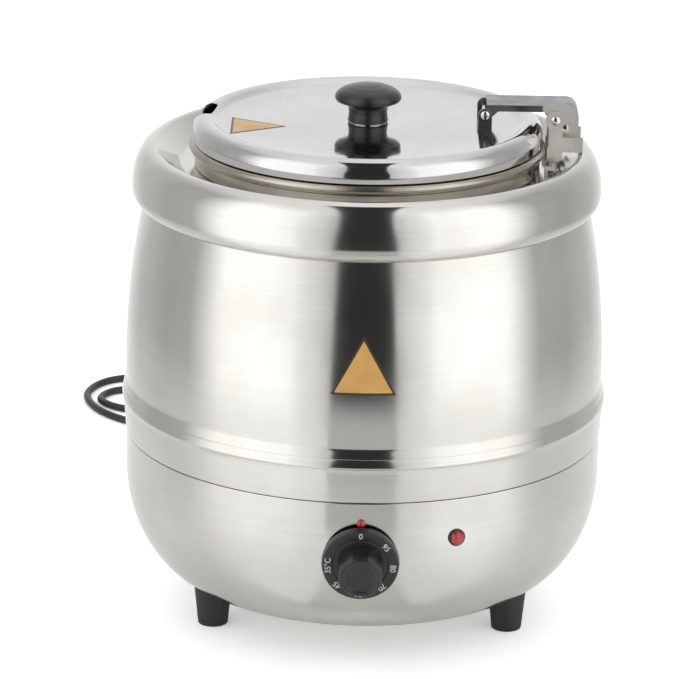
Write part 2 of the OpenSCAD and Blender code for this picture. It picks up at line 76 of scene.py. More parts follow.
def linear(code: str) -> tuple[float, float, float, float]:
    """Turns an sRGB hex value into linear colour.

    Args:
        code: six hex digits, such as "C8C6C0".

    Returns:
        Linear red, green and blue with an alpha of 1.
    """
    parts = [int(code[i:i + 2], 16) / 255 for i in (0, 2, 4)]
    values = [c / 12.92 if c <= 0.04045 else ((c + 0.055) / 1.055) ** 2.4 for c in parts]
    return (values[0], values[1], values[2], 1.0)


def add(tree: bpy.types.NodeTree, kind: str, inputs: dict | None = None, **settings: object) -> bpy.types.Node:
    """Adds one shader node, with its settings and its inputs set or linked.

    Args:
        tree: the material's or world's node tree.
        kind: the node's type name after "ShaderNode".
        inputs: for each input a constant, a socket, or a node whose first output is meant.
        settings: attributes of the node itself.

    Returns:
        The new node.
    """
    node = tree.nodes.new("ShaderNode" + kind)
    for key, value in settings.items():
        setattr(node, key, value)
    for key, value in (inputs or {}).items():
        if isinstance(value, bpy.types.Node):
            value = value.outputs[0]
        if isinstance(value, bpy.types.NodeSocket):
            tree.links.new(value, node.inputs[key])
        else:
            node.inputs[key].default_value = value
    return node


def blank(name: str) -> tuple[bpy.types.Material, bpy.types.NodeTree]:
    """Makes a material with an empty node tree.

    Args:
        name: the material's name.

    Returns:
        The material and its tree.
    """
    material = bpy.data.materials.new(name)
    material.use_nodes = True
    material.node_tree.nodes.clear()
    return material, material.node_tree


@dataclass(frozen=True)
class Finish:
    """A plain finish: one shader, its roughness varied by a soft noise and a fine bump.

    Colours are sRGB hex; patch_mm and grain_mm are the sizes of a smudge and of a grain.
    """

    name: str
    tone: str
    deep: str
    metallic: float = 0.0
    ior: float = 1.5
    rough: tuple[float, float] = (0.3, 0.4)
    patch_mm: float = 30.0
    grain_mm: float = 0.6
    grain_height_mm: float = 0.02
    coat: float = 0.0
    transmission: float = 0.0

    def pattern(self, tree: bpy.types.NodeTree, place: bpy.types.NodeSocket) -> bpy.types.NodeSocket:
        """Coordinates of the fine marks: here the plain object space."""
        return place

    def material(self) -> bpy.types.Material:
        """Builds the finish.

        Smudges of patch_mm mix the two tones and move the roughness between its two
        values; grains of grain_mm give the bump.
        """
        material, tree = blank(self.name)
        material.diffuse_color = linear(self.tone)
        place = add(tree, "TexCoord").outputs["Object"]
        smudge = add(tree, "TexNoise", {
            "Vector": place, "Scale": 1 / (self.patch_mm * MM), "Detail": 3.0, "Roughness": 0.55})
        grain = add(tree, "TexNoise", {
            "Vector": self.pattern(tree, place), "Scale": 1 / (self.grain_mm * MM),
            "Detail": 2.0, "Roughness": 0.6})
        both = add(tree, "Math", {0: grain, 1: 0.35, 2: smudge}, operation="MULTIPLY_ADD")
        spread = add(tree, "MapRange", {"Value": both, "From Min": 0.42, "From Max": 0.92},
                     interpolation_type="SMOOTHSTEP")
        colour = add(tree, "Mix", {0: spread, 6: linear(self.tone), 7: linear(self.deep)}, data_type="RGBA")
        rough = add(tree, "MapRange", {"Value": spread, "To Min": self.rough[0], "To Max": self.rough[1]})
        bump = add(tree, "Bump", {"Height": grain, "Strength": 0.5, "Distance": self.grain_height_mm * MM})
        inputs = {"Base Color": colour.outputs[2], "Roughness": rough, "Normal": bump,
                  "Metallic": self.metallic, "Coat Weight": self.coat, "Coat Roughness": 0.08,
                  "Transmission Weight": self.transmission}
        if self.metallic < 1:
            inputs["IOR"] = self.ior
        add(tree, "OutputMaterial", {"Surface": add(tree, "BsdfPrincipled", inputs)})
        return material


@dataclass(frozen=True)
class Lined(Finish):
    """A metal whose fine marks are drawn out into lines, as spinning or a belt leaves them."""

    lay: Lay = Lay.ROUND

    def pattern(self, tree: bpy.types.NodeTree, place: bpy.types.NodeSocket) -> bpy.types.NodeSocket:
        """Coordinates that hardly change along a line: (r, 0, z), or one axis squeezed.

        Args:
            tree: the material's nodes.
            place: the object coordinates.

        Returns:
            The socket that the fine marks read.
        """
        if self.lay is Lay.ROUND:
            flat = add(tree, "VectorMath", {0: place, 1: (1.0, 1.0, 0.0)}, operation="MULTIPLY")
            radius = add(tree, "VectorMath", {0: flat}, operation="LENGTH").outputs["Value"]
            height = add(tree, "SeparateXYZ", {"Vector": place}).outputs["Z"]
            return add(tree, "CombineXYZ", {"X": radius, "Z": height}).outputs[0]
        squeeze = {Lay.ALONG_X: (0.03, 1.0, 1.0), Lay.ALONG_Y: (1.0, 0.03, 1.0)}.get(self.lay, (1.0, 1.0, 1.0))
        return add(tree, "VectorMath", {0: place, 1: squeeze}, operation="MULTIPLY").outputs[0]


# Real spinning marks are about 0.1 mm apart; they are drawn at 0.9 mm so that they show.
FINISHES: dict[str, Finish] = {f.name: f for f in (
    # Stainless sheet, spun and buffed: a bright mirror softened by rings and wiping smudges
    Lined("polished_stainless_spun", "D6D5D1", "CBC9C4", 1.0, rough=(0.09, 0.15), patch_mm=70,
          grain_mm=0.9, grain_height_mm=0.006),
    # Stainless disc, buffed flat: the clearest mirror on the kettle
    Lined("mirror_stainless_lid", "D2D2D2", "C8C8C9", 1.0, rough=(0.05, 0.09), patch_mm=60,
          grain_mm=1.6, grain_height_mm=0.002, lay=Lay.ALONG_Y),
    # Stainless pot, drawn and satin finished: broad soft highlights, slightly warm
    Lined("satin_stainless_pot", "B9B3AA", "A39C92", 1.0, rough=(0.16, 0.26), patch_mm=40,
          grain_mm=1.2, grain_height_mm=0.01),
    # Stainless strip, belt brushed along its length: grey with fine straight lines
    Lined("brushed_stainless_arm", "929295", "79797D", 1.0, rough=(0.24, 0.36), patch_mm=16,
          grain_mm=0.7, grain_height_mm=0.02, lay=Lay.ALONG_X),
    # Stainless plate, tumbled: pale and even
    Lined("tumbled_stainless_plate", "EBE9E3", "DCD9D2", 1.0, rough=(0.4, 0.5), patch_mm=20,
          grain_mm=0.6, grain_height_mm=0.01, lay=Lay.NONE),
    # Turned and domed stainless rivets: small bright mirrors
    Finish("turned_stainless_rivet", "DEDDD9", "CFCDC8", 1.0, rough=(0.08, 0.14), patch_mm=6,
           grain_height_mm=0.004),
    # Steel screws with bright zinc: a grey-blue dull mirror
    Finish("zinc_plated_steel", "B4B7BA", "9FA2A5", 1.0, rough=(0.28, 0.4), patch_mm=5),
    # Brass pins with nickel: warm grey and smooth
    Finish("nickel_plated_brass", "C9C4B8", "B9B2A4", 1.0, rough=(0.14, 0.22), patch_mm=5),
    # Bare brass and copper, drawn
    Finish("plain_brass", "C9A35C", "A88646", 1.0, rough=(0.25, 0.38), patch_mm=9),
    # Moulded phenolic: near black, satin, with a faint mould texture
    Finish("moulded_phenolic_black", "1B1B1D", "242427", ior=1.55, rough=(0.24, 0.34), patch_mm=14,
           grain_mm=0.5, grain_height_mm=0.012),
    # Moulded nitrile rubber: matt, dusty grey where it is handled
    Finish("moulded_rubber_black", "1C1C1E", "29292B", ior=1.52, rough=(0.5, 0.66), patch_mm=9,
           grain_mm=0.7, grain_height_mm=0.03),
    # Extruded PVC cord skin: dark with a low sheen
    Finish("extruded_pvc_black", "161617", "202022", ior=1.53, rough=(0.32, 0.46), patch_mm=12,
           grain_mm=0.8, grain_height_mm=0.015),
    # Glazed steatite and cream phenolic of the controls inside
    Finish("steatite_cream", "D9D2BF", "C8BFA8", ior=1.56, rough=(0.3, 0.45), patch_mm=10),
    # Clear polycarbonate dyed red: deep and glossy
    Finish("polycarbonate_red", "B0140F", "8C0D0A", ior=1.58, rough=(0.05, 0.1), patch_mm=4,
           grain_height_mm=0.002, coat=0.6),
    # Polyester film printed amber, and its dark printed edge
    Finish("polyester_film_amber", "C69A58", "B98A49", ior=1.57, rough=(0.26, 0.36), patch_mm=12,
           grain_height_mm=0.003),
    Finish("polyester_film_dark", "3A3026", "2E261E", ior=1.57, rough=(0.3, 0.4), patch_mm=12,
           grain_height_mm=0.003),
    # White pad-printed ink of the dial's numbers
    Finish("printed_ink_white", "D8D8D6", "C6C6C3", ior=1.5, rough=(0.45, 0.55), patch_mm=3),
)}


class Workshop:
    """Makes each finish once and hands it out by name."""

    def __init__(self) -> None:
        """Starts with no material made."""
        self.made: dict[str, bpy.types.Material] = {}

    def finish(self, name: str) -> bpy.types.Material:
        """Returns the finish of that name, made at the first call."""
        if name not in self.made:
            self.made[name] = FINISHES[name].material()
        return self.made[name]

    def coat(self, piece: bpy.types.Object, name: str) -> bpy.types.Object:
        """Gives a piece one finish in all its slots.

        Args:
            piece: the object to dress.
            name: the finish's name.

        Returns:
            The same object.
        """
        if piece.data.materials:
            for i in range(len(piece.data.materials)):
                piece.data.materials[i] = self.finish(name)
        else:
            piece.data.materials.append(self.finish(name))
        return piece


SHOP = Workshop()


# ---------------------------------------------------------------- surfaces


def arc(centre: tuple[float, float], a: float, b: float, start: float, end: float,
        count: int = 24) -> np.ndarray:
    """Points on an ellipse: centre + (a cos t, b sin t), t from start to end degrees.

    Args:
        centre: middle of the ellipse.
        a: half width.
        b: half height.
        start: first angle.
        end: last angle.
        count: number of steps.

    Returns:
        An array of count + 1 points.
    """
    t = np.radians(np.linspace(start, end, count + 1))
    return np.stack([centre[0] + a * np.cos(t), centre[1] + b * np.sin(t)], -1)


def line(*stretches: object) -> np.ndarray:
    """Joins points and arrays of points into one outline."""
    return np.concatenate([np.atleast_2d(np.asarray(s, float)) for s in stretches])


def to_mesh(name: str, points: np.ndarray, faces: np.ndarray | list, crease: float = 32.0,
            place: Matrix | None = None, merge: float = 0.004) -> bpy.types.Object:
    """Puts arrays into a mesh object in millimetres, closed and smooth.

    Args:
        name: the piece's name.
        points: vertex places, N by 3, in millimetres.
        faces: vertex indices of each face.
        crease: edges sharper than this many degrees stay sharp.
        place: where the piece's own axes sit in the kettle's frame.
        merge: vertices closer than this many millimetres become one.

    Returns:
        The new object, which sits at the origin.
    """
    if place is not None:
        turn = np.array(place)
        points = points @ turn[:3, :3].T + turn[:3, 3]
    mesh = bpy.data.meshes.new(name)
    mesh.from_pydata((points * MM).tolist(), [], faces.tolist() if isinstance(faces, np.ndarray) else faces)
    work = bmesh.new()
    work.from_mesh(mesh)
    bmesh.ops.remove_doubles(work, verts=work.verts, dist=merge * MM)
    bmesh.ops.recalc_face_normals(work, faces=work.faces)
    work.to_mesh(mesh)
    work.free()
    mesh.shade_smooth()
    mesh.set_sharp_from_angle(angle=math.radians(crease))
    piece = bpy.data.objects.new(name, mesh)
    bpy.context.scene.collection.objects.link(piece)
    return piece


def grid_faces(rows: int, columns: int, wrap_rows: bool, wrap_columns: bool) -> np.ndarray:
    """Quads of a grid: face (i, j) joins rows i, i + 1 and columns j, j + 1.

    Args:
        rows: number of rows.
        columns: number of columns.
        wrap_rows: whether the last row joins the first.
        wrap_columns: whether the last column joins the first.

    Returns:
        Four point numbers for each face.
    """
    i, j = np.meshgrid(np.arange(rows if wrap_rows else rows - 1),
                       np.arange(columns if wrap_columns else columns - 1), indexing="ij")
    k, m = (i + 1) % rows, (j + 1) % columns
    return np.stack([i * columns + j, i * columns + m, k * columns + m, k * columns + j], -1).reshape(-1, 4)


def turned(name: str, outline: np.ndarray, closed: bool = True, turns: int = TURNS,
           crease: float = 32.0, place: Matrix | None = None) -> bpy.types.Object:
    """Turns an outline of (r, z) about the Z axis: (r cos t, r sin t, z).

    Args:
        name: the piece's name.
        outline: the half section, millimetres.
        closed: true where the outline is a loop, false where both its ends are on the axis.
        turns: steps round the axis.
        crease: sharp edges stay sharp above this angle.
        place: where the axis sits.

    Returns:
        The new object.
    """
    t = np.linspace(0, 2 * np.pi, turns, endpoint=False)[:, None]
    r, z = outline[None, :, 0], outline[None, :, 1]
    points = np.stack([r * np.cos(t), r * np.sin(t), z + 0 * t], -1).reshape(-1, 3)
    faces = grid_faces(turns, len(outline), True, closed)
    return to_mesh(name, points, faces, crease, place)


def wall(outer: np.ndarray, sheet: float, side: float = 1.0) -> np.ndarray:
    """Gives an outline a thickness: the line back again, moved along its normals.

    The normal at a point is its central difference turned by a right angle.

    Args:
        outer: the visible line.
        sheet: thickness in millimetres.
        side: 1 or -1, the side that the material lies on.

    Returns:
        A closed outline.
    """
    step = np.gradient(outer, axis=0)
    step /= np.maximum(np.linalg.norm(step, axis=1, keepdims=True), 1e-9)
    normal = np.stack([-step[:, 1], step[:, 0]], -1) * side
    return np.concatenate([outer, (outer + normal * sheet)[::-1]])


def lofted(name: str, rings: np.ndarray, crease: float = 32.0,
           place: Matrix | None = None) -> bpy.types.Object:
    """Joins closed rings of points and caps both ends with a fan to their middles.

    Args:
        name: the object's name.
        rings: points in millimetres, rows by count by 3.
        crease: angle in degrees above which an edge stays sharp.
        place: where the rings go, or None for where they are.

    Returns:
        The new object.
    """
    rows, count = rings.shape[:2]
    ends = np.stack([rings[0].mean(0), rings[-1].mean(0)])
    body = np.concatenate([np.repeat(ends[:1], count, 0)[None], rings, np.repeat(ends[1:], count, 0)[None]])
    faces = grid_faces(rows + 2, count, False, True)
    return to_mesh(name, body.reshape(-1, 3), faces, crease, place)


def refined(node: str, name: str, edge_mm: float, crease: float = 30.0) -> bpy.types.Object:
    """Copies a CAD node's plates, joins their triangles into flat faces and breaks the edges.

    Args:
        node: the CAD node that the copy stands for.
        name: the copy's name.
        edge_mm: width of the broken edges.
        crease: edges sharper than this many degrees are broken.

    Returns:
        The new object.
    """
    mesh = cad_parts[node].data.copy()
    mesh.name = name
    work = bmesh.new()
    work.from_mesh(mesh)
    bmesh.ops.remove_doubles(work, verts=work.verts, dist=1e-6)
    bmesh.ops.dissolve_limit(work, angle_limit=math.radians(0.6), verts=work.verts, edges=work.edges)
    bmesh.ops.recalc_face_normals(work, faces=work.faces)
    work.to_mesh(mesh)
    work.free()
    mesh.materials.clear()
    mesh.shade_smooth()
    mesh.set_sharp_from_angle(angle=math.radians(crease))
    piece = bpy.data.objects.new(name, mesh)
    bpy.context.scene.collection.objects.link(piece)
    bevel = piece.modifiers.new("broken_edges", "BEVEL")
    bevel.width = edge_mm * MM
    bevel.segments = 2
    bevel.limit_method = "ANGLE"
    bevel.angle_limit = math.radians(crease)
    bevel.harden_normals = False
    return piece


def settle(piece: bpy.types.Object, body: str, finish: str, slot: str, *nodes: str) -> bpy.types.Object:
    """Dresses a piece, puts it on its body and lets it stand for its CAD nodes.

    Args:
        piece: the finished shape.
        body: the CAD body that it moves with.
        finish: name of its finish.
        slot: not used.
        nodes: CAD nodes that it replaces.

    Returns:
        The same piece.
    """
    SHOP.coat(piece, finish)
    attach(piece, body)
    if nodes:
        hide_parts(*nodes)
    LOG.info("%s on %s: %s", piece.name, body, finish)
    return piece


def low(node: str) -> np.ndarray:
    """Lowest corner of a CAD node, millimetres."""
    return np.array(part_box(node)[0]) / MM


def high(node: str) -> np.ndarray:
    """Highest corner of a CAD node, millimetres."""
    return np.array(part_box(node)[1]) / MM


# ---------------------------------------------------------------- body


@dataclass
class Shells:
    """The outer skin: a bowl, the side wall with its rib, and the rolled collar."""

    sheet: float = 1.0
    rib_r: float = field(default_factory=lambda: float(high("upper_shell")[0]))
    floor_z: float = field(default_factory=lambda: float(high("base_cover")[2]))
    seam_z: float = field(default_factory=lambda: float(high("lower_bowl")[2]))
    top_z: float = field(default_factory=lambda: float(high("upper_shell")[2]))
    seat_z: float = field(default_factory=lambda: float(low("body_bracket")[2]))
    bowl_run: float = 27.5
    bowl_a: float = 57.0
    belly_rise: float = 48.5
    belly_curve: float = 540.0
    rib_rise: float = 25.4

    def __post_init__(self) -> None:
        """Works out the radii that follow from the rib's."""
        self.wall_r = self.rib_r - 3.0
        self.belly_r = self.rib_r - 2.7
        self.bowl_c = self.seam_z - self.bowl_run
        self.bowl_h = self.bowl_c - self.floor_z
        self.bowl_flat = self.wall_r - self.bowl_a
        self.belly_z = self.seam_z + self.belly_rise
        self.collar_r = self.rib_r - 7.0
        self.crest_r = self.collar_r - 14.8
        self.open_r = self.crest_r - 17.2
        self.seat_r = self.open_r - 13.5
        self.crest_z = self.top_z + 39.2

    def barrel(self, z: np.ndarray | float) -> np.ndarray | float:
        """Radius of the side wall: a circle of belly_curve touching belly_r at belly_z."""
        return self.belly_r - self.belly_curve + np.sqrt(self.belly_curve ** 2 - (z - self.belly_z) ** 2)

    def bowl(self, z: float) -> float:
        """Radius of the bowl: a quarter ellipse below bowl_c."""
        return self.bowl_flat + self.bowl_a * math.sqrt(1 - ((self.bowl_c - z) / self.bowl_h) ** 2)

    def bowl_lean(self, z: float) -> float:
        """Downward lean of the bowl's face at a height, in radians, from the ellipse's gradient."""
        across = (self.bowl(z) - self.bowl_flat) / self.bowl_a ** 2
        return math.atan((self.bowl_c - z) / self.bowl_h ** 2 / across)

    def build_bowl(self) -> None:
        """Turns the bowl, with a small rolled edge at the seam."""
        outer = line((self.bowl_flat - 30, self.floor_z),
                     arc((self.bowl_flat, self.bowl_c), self.bowl_a, self.bowl_h, -90, 0, 56),
                     (self.wall_r, self.seam_z - 0.9),
                     arc((self.wall_r - 0.5, self.seam_z - 0.5), 0.5, 0.5, 0, 90, 5))
        settle(turned("bowl_skin", wall(outer, self.sheet)), "kettle", "polished_stainless_spun",
               "polished_steel", "lower_bowl")

    def build_wall(self) -> None:
        """Turns the side wall: a flare up to a small step, the rib's two faces, then the barrel.

        The rib's faces lean back as they rise, with a fine crease between them. The
        offsets are (inward from the rib's radius, upward from the step).
        """
        step = self.seam_z + self.rib_rise
        rise = np.linspace(0, 1, 8)[:, None]
        flare = np.array([(self.wall_r + 0.5, self.seam_z + 1.1)]) * (1 - rise) + np.array(
            [(self.rib_r - 0.95, step - 1.1)]) * rise
        rib = np.array([(0.75, -0.75), (0.25, -0.4), (0.03, 0.15), (0.1, 0.8), (0.3, 2.0),
                        (0.65, 3.6), (1.02, 5.3), (1.3, 5.75), (1.42, 6.0), (1.3, 6.25),
                        (1.42, 6.8), (1.75, 8.4), (2.15, 10.0), (2.5, 11.2), (2.72, 12.2)])
        z = np.linspace(step + 13.6, self.top_z - 0.6, 44)
        outer = line(arc((self.wall_r, self.seam_z + 1.1), 0.5, 0.5, -90, 0, 4), flare,
                     rib * (-1, 1) + (self.rib_r, step), np.stack([self.barrel(z), z], -1),
                     arc((self.barrel(self.top_z) - 0.7, self.top_z - 0.7), 0.7, 0.7, 0, 90, 4),
                     (self.barrel(self.top_z) - 9, self.top_z))
        settle(turned("wall_skin", wall(outer, self.sheet)), "kettle", "polished_stainless_spun",
               "polished_steel", "upper_shell")

    def build_collar(self) -> None:
        """Turns the collar: lip, swelling side, rounded crest, straight slope in and flat seat."""
        rim = float(self.barrel(self.top_z)) + 0.6
        side_z = self.top_z + 10.5
        crest = self.crest_z - side_z
        outer = line((rim - 1.2, self.top_z + 0.35), (rim - 0.4, self.top_z + 0.05),
                     arc((rim, side_z), self.collar_r - rim, 10.5, -88, 0, 16),
                     arc((self.crest_r, side_z), 14.8, crest, 3, 90, 44),
                     (self.crest_r - 0.9, self.crest_z - 0.15), (self.crest_r - 1.7, self.crest_z - 0.55),
                     (self.crest_r - 2.6, self.crest_z - 1.2), (self.open_r + 1.9, self.seat_z + 3.5),
                     (self.open_r + 0.6, self.seat_z + 2.2), (self.open_r - 0.9, self.seat_z + 1.0),
                     (self.open_r - 2.4, self.seat_z + 0.3), (self.open_r - 4, self.seat_z),
                     (self.seat_r, self.seat_z))
        settle(turned("collar_skin", wall(outer, self.sheet), crease=40), "kettle",
               "polished_stainless_spun", "polished_steel", "collar_ring")

    def build(self) -> None:
        """Builds the three skins."""
        self.build_bowl()
        self.build_wall()
        self.build_collar()


@dataclass
class Pot:
    """The lift-out pot: a rolled rim, a short step down to its seat and a deep round pan."""

    skins: Shells
    gauge: float = 0.8
    rim_tube: float = 3.8
    rim_r: float = 119.5
    depth: float = 228.0
    corner: float = 8.0

    def build(self) -> None:
        """Turns the pan and its rim as one closed section.

        The rim is most of a circle of rim_tube, whose ends run into the step below it.
        """
        seat, rim_z = self.skins.seat_z, self.skins.top_z + 39.0
        pot_r = self.skins.seat_r - 4.5
        floor = seat - self.depth
        step = self.skins.seat_r + 2.0
        c = self.corner
        outer = line((0, floor), arc((pot_r - c, floor + c), c, c, -90, 0, 14), (pot_r, seat - 1.5),
                     arc((pot_r + 1.5, seat - 1.5), 1.5, 1.5, 180, 90, 5), (step - 1.5, seat),
                     arc((step - 1.5, seat + 1.5), 1.5, 1.5, -90, 0, 5), (step, rim_z - self.rim_tube - 0.2))
        bead = arc((self.rim_r, rim_z), self.rim_tube, self.rim_tube, -86, 200, 40)
        g = self.gauge
        inner = line((step - g, rim_z - 2), (step - g, seat + 1.5 + g),
                     arc((step - 1.5 - g, seat + 1.5 + g), 1.5, 1.5, 0, -90, 4),
                     (pot_r + 1, seat + g), arc((pot_r + 1, seat - 1 + g), 1.8, 1.8, 90, 180, 5),
                     (pot_r - g, floor + c), arc((pot_r - c, floor + c), c - g, c - g, 0, -90, 14),
                     (0, floor + g))
        section = line(outer, bead, inner)
        settle(turned("pot_pan", section, closed=False), "kettle", "satin_stainless_pot",
               "pot_steel", "inner_pot")


# ---------------------------------------------------------------- lid


@dataclass
class Lid:
    """The lid: a mirror disc inside a rolled bead, a ladle notch, a knob and its label."""

    edge_r: float = field(default_factory=lambda: float(high("lid_cover")[0]))
    edge_z: float = field(default_factory=lambda: float(low("lid_cover")[2]))
    bead_z: float = field(default_factory=lambda: float(high("lid_cover")[2]))
    disc_z: float = field(default_factory=lambda: float(low("knob_washer")[2]))
    sheet: float = 1.0
    bead_w: float = 9.0
    notch_at: float = 172.0
    notch_w: float = 32.0

    def build_cover(self) -> None:
        """Turns the bead and the disc in one, then cuts the notch with a rounded block."""
        r, bead = self.edge_r, self.bead_z - self.edge_z - 6
        disc_r = r - 17.5
        outer = line((0, self.disc_z), (disc_r - 30, self.disc_z), (disc_r - 0.6, self.disc_z),
                     (disc_r + 0.6, self.disc_z + 0.25), (disc_r + 3.4, self.disc_z + 2.2),
                     (disc_r + 5.6, self.disc_z + 3.35),
                     arc((r - self.bead_w, self.edge_z + 6), self.bead_w, bead, 90, 4, 30),
                     (r, self.edge_z + 5), (r, self.edge_z + 0.5))
        inner = wall(outer, self.sheet, -1.0)[len(outer):]
        inner[-1, 0] = 0.0
        section = line(outer, arc((r - 0.5, self.edge_z + 0.5), 0.5, 0.5, 0, -180, 5), inner[1:])
        cover = turned("lid_pressing", section, closed=False)
        self.cut_notch(cover, disc_r + 4)
        settle(cover, "lid", "mirror_stainless_lid", "polished_steel", "lid_cover")

    def cut_notch(self, cover: bpy.types.Object, start: float) -> None:
        """Cuts the ladle notch: a block with rounded corners, placed at notch_at.

        Args:
            cover: the lid's mesh object, changed in place.
            start: radius at which the notch begins.
        """
        half, corner, reach = self.notch_w / 2, 5.0, 40.0
        outline = line(arc((corner, half - corner), corner, corner, 90, 180, 8),
                       arc((corner, corner - half), corner, corner, 180, 270, 8), (reach, -half), (reach, half))
        rings = np.stack([np.concatenate([outline + (start, 0), np.full((len(outline), 1), z)], 1)
                          for z in (self.edge_z - 6, self.bead_z + 6)])
        cutter = lofted("notch_block", rings, place=Matrix.Rotation(math.radians(self.notch_at), 4, "Z"))
        cut = cover.modifiers.new("notch", "BOOLEAN")
        cut.operation, cut.object, cut.solver = "DIFFERENCE", cutter, "EXACT"
        shaped = bpy.data.meshes.new_from_object(
            cover.evaluated_get(bpy.context.evaluated_depsgraph_get()))
        cover.modifiers.clear()
        cover.data = shaped
        shaped.name = cover.name
        bpy.data.objects.remove(cutter)

    def build_ring(self) -> None:
        """Turns the locating ring below the lid, with a rounded lower edge."""
        r, foot = self.edge_r - 9.5, float(low("locating_ring")[2])
        top = self.disc_z - self.sheet - 0.05
        section = line(arc((r - 0.5, foot + 0.5), 0.5, 0.5, -180, 0, 8), (r, top - 1),
                       arc((r - 1, top - 1), 1, 1, 0, 90, 4), (r - 9, top), (r - 9, top - 1), (r - 1, top - 1))
        settle(turned("locating_skirt", section), "lid", "satin_stainless_pot", "pot_steel", "locating_ring")

    def build_knob(self) -> None:
        """Turns the knob: a waisted stem with a parting groove and a low domed cap with two rings."""
        base, cap = float(low("lid_knob")[2]), float(high("lid_knob")[0])
        height = float(high("lid_knob")[2]) - base
        crown_r, crown = 9.0, height - 9.0
        dome = arc((0, crown), cap, crown_r, 6, 90, 40)
        groove = 0.22 * (np.exp(-((dome[:, 0] - 15.5) / 0.5) ** 2) + np.exp(-((dome[:, 0] - 9.5) / 0.5) ** 2))
        dome[:, 1] -= groove
        section = line((0, 0), (13.2, 0), arc((13.2, 0.7), 0.8, 0.7, -90, 0, 4), (13.5, 3), (13.35, 5.6),
                       (13.2, 6.2), (13.2, 6.8), (13.35, 7.4), (13.5, 9), (14.1, 10.6), (15.4, 11.8),
                       (17.4, 12.7), (cap - 3.2, crown - 2.9), arc((cap - 3, crown), 3, 3, -80, 0, 12), dome)
        place = Matrix.Translation((0, 0, base))
        settle(turned("knob_moulding", section, closed=False, place=place), "lid",
               "moulded_phenolic_black", "black_plastic", "lid_knob")
        washer = line(arc((12.6, 0.4), 0.4, 0.4, -90, 90, 8), (2.6, 0.8), (2.6, 0))
        settle(turned("knob_seat_washer", washer, place=Matrix.Translation((0, 0, self.disc_z))), "lid",
               "turned_stainless_rivet", "pot_steel", "knob_washer")

    def build_label(self) -> None:
        """Lays the printed triangle on the disc: a dark film and an amber face inside its edge."""
        lo, hi = low("lid_label"), high("lid_label")
        middle = Matrix.Translation((lo[0], (lo[1] + hi[1]) / 2, self.disc_z + 0.02)) @ Matrix.Rotation(
            math.radians(-90), 4, "Z")
        build_triangle("lid_notice", hi[1] - lo[1], hi[0] - lo[0], "lid", "lid_label",
                       lambda x, y, lift: np.stack([x, y, lift + 0 * x], -1), middle)

    def build(self) -> None:
        """Builds the lid's own pieces."""
        self.build_cover()
        self.build_ring()
        self.build_knob()
        self.build_label()


def build_triangle(name: str, width: float, height: float, body: str, node: str,
                   bend: object, place: Matrix | None = None) -> None:
    """Makes a triangular film and the amber face that leaves its dark edge showing.

    A point (s, t), both from 0 to 1, lies at ((2 s - 1) (1 - t) width / 2, t height);
    both sheets are closed: the face, its edge and the back.

    Args:
        name: name of the film; the face has "_face" after it.
        width: length of the base.
        height: height of the triangle.
        body: the CAD body that it rides on.
        node: the CAD node that it stands for.
        bend: function of x, y and lift that puts points on the surface.
        place: where the film's own axes sit.
    """
    for suffix, margin, lift, finish in (("", 0.0, 0.1, "polyester_film_dark"),
                                         ("_face", 1.5, 0.16, "polyester_film_amber")):
        h = height - margin * (1 + math.hypot(height, width / 2) / (width / 2))
        w = width * h / height
        s, t = np.meshgrid(np.linspace(0, 1, 33), np.linspace(0, 0.985, 33))
        x, y = (2 * s - 1) * (1 - t) * w / 2, margin + t * h
        sheets = [bend(x, y, lift), bend(x, y, 0.0)]
        rows, count = x.shape
        cell = grid_faces(rows, count, False, False)
        ring = np.concatenate([np.arange(count), np.arange(1, rows) * count + count - 1,
                               (rows - 1) * count + np.arange(count - 2, -1, -1),
                               np.arange(rows - 2, 0, -1) * count])
        after = np.roll(ring, -1)
        edge = np.stack([ring, after, after + rows * count, ring + rows * count], -1)
        points = np.concatenate([sheets[0].reshape(-1, 3), sheets[1].reshape(-1, 3)])
        faces = np.concatenate([cell, cell[:, ::-1] + rows * count, edge])
        piece = to_mesh(name + suffix, points, faces, place=place, merge=0.001)
        settle(piece, body, finish, "label_gold", *([node] if not suffix else []))


# ---------------------------------------------------------------- hinge


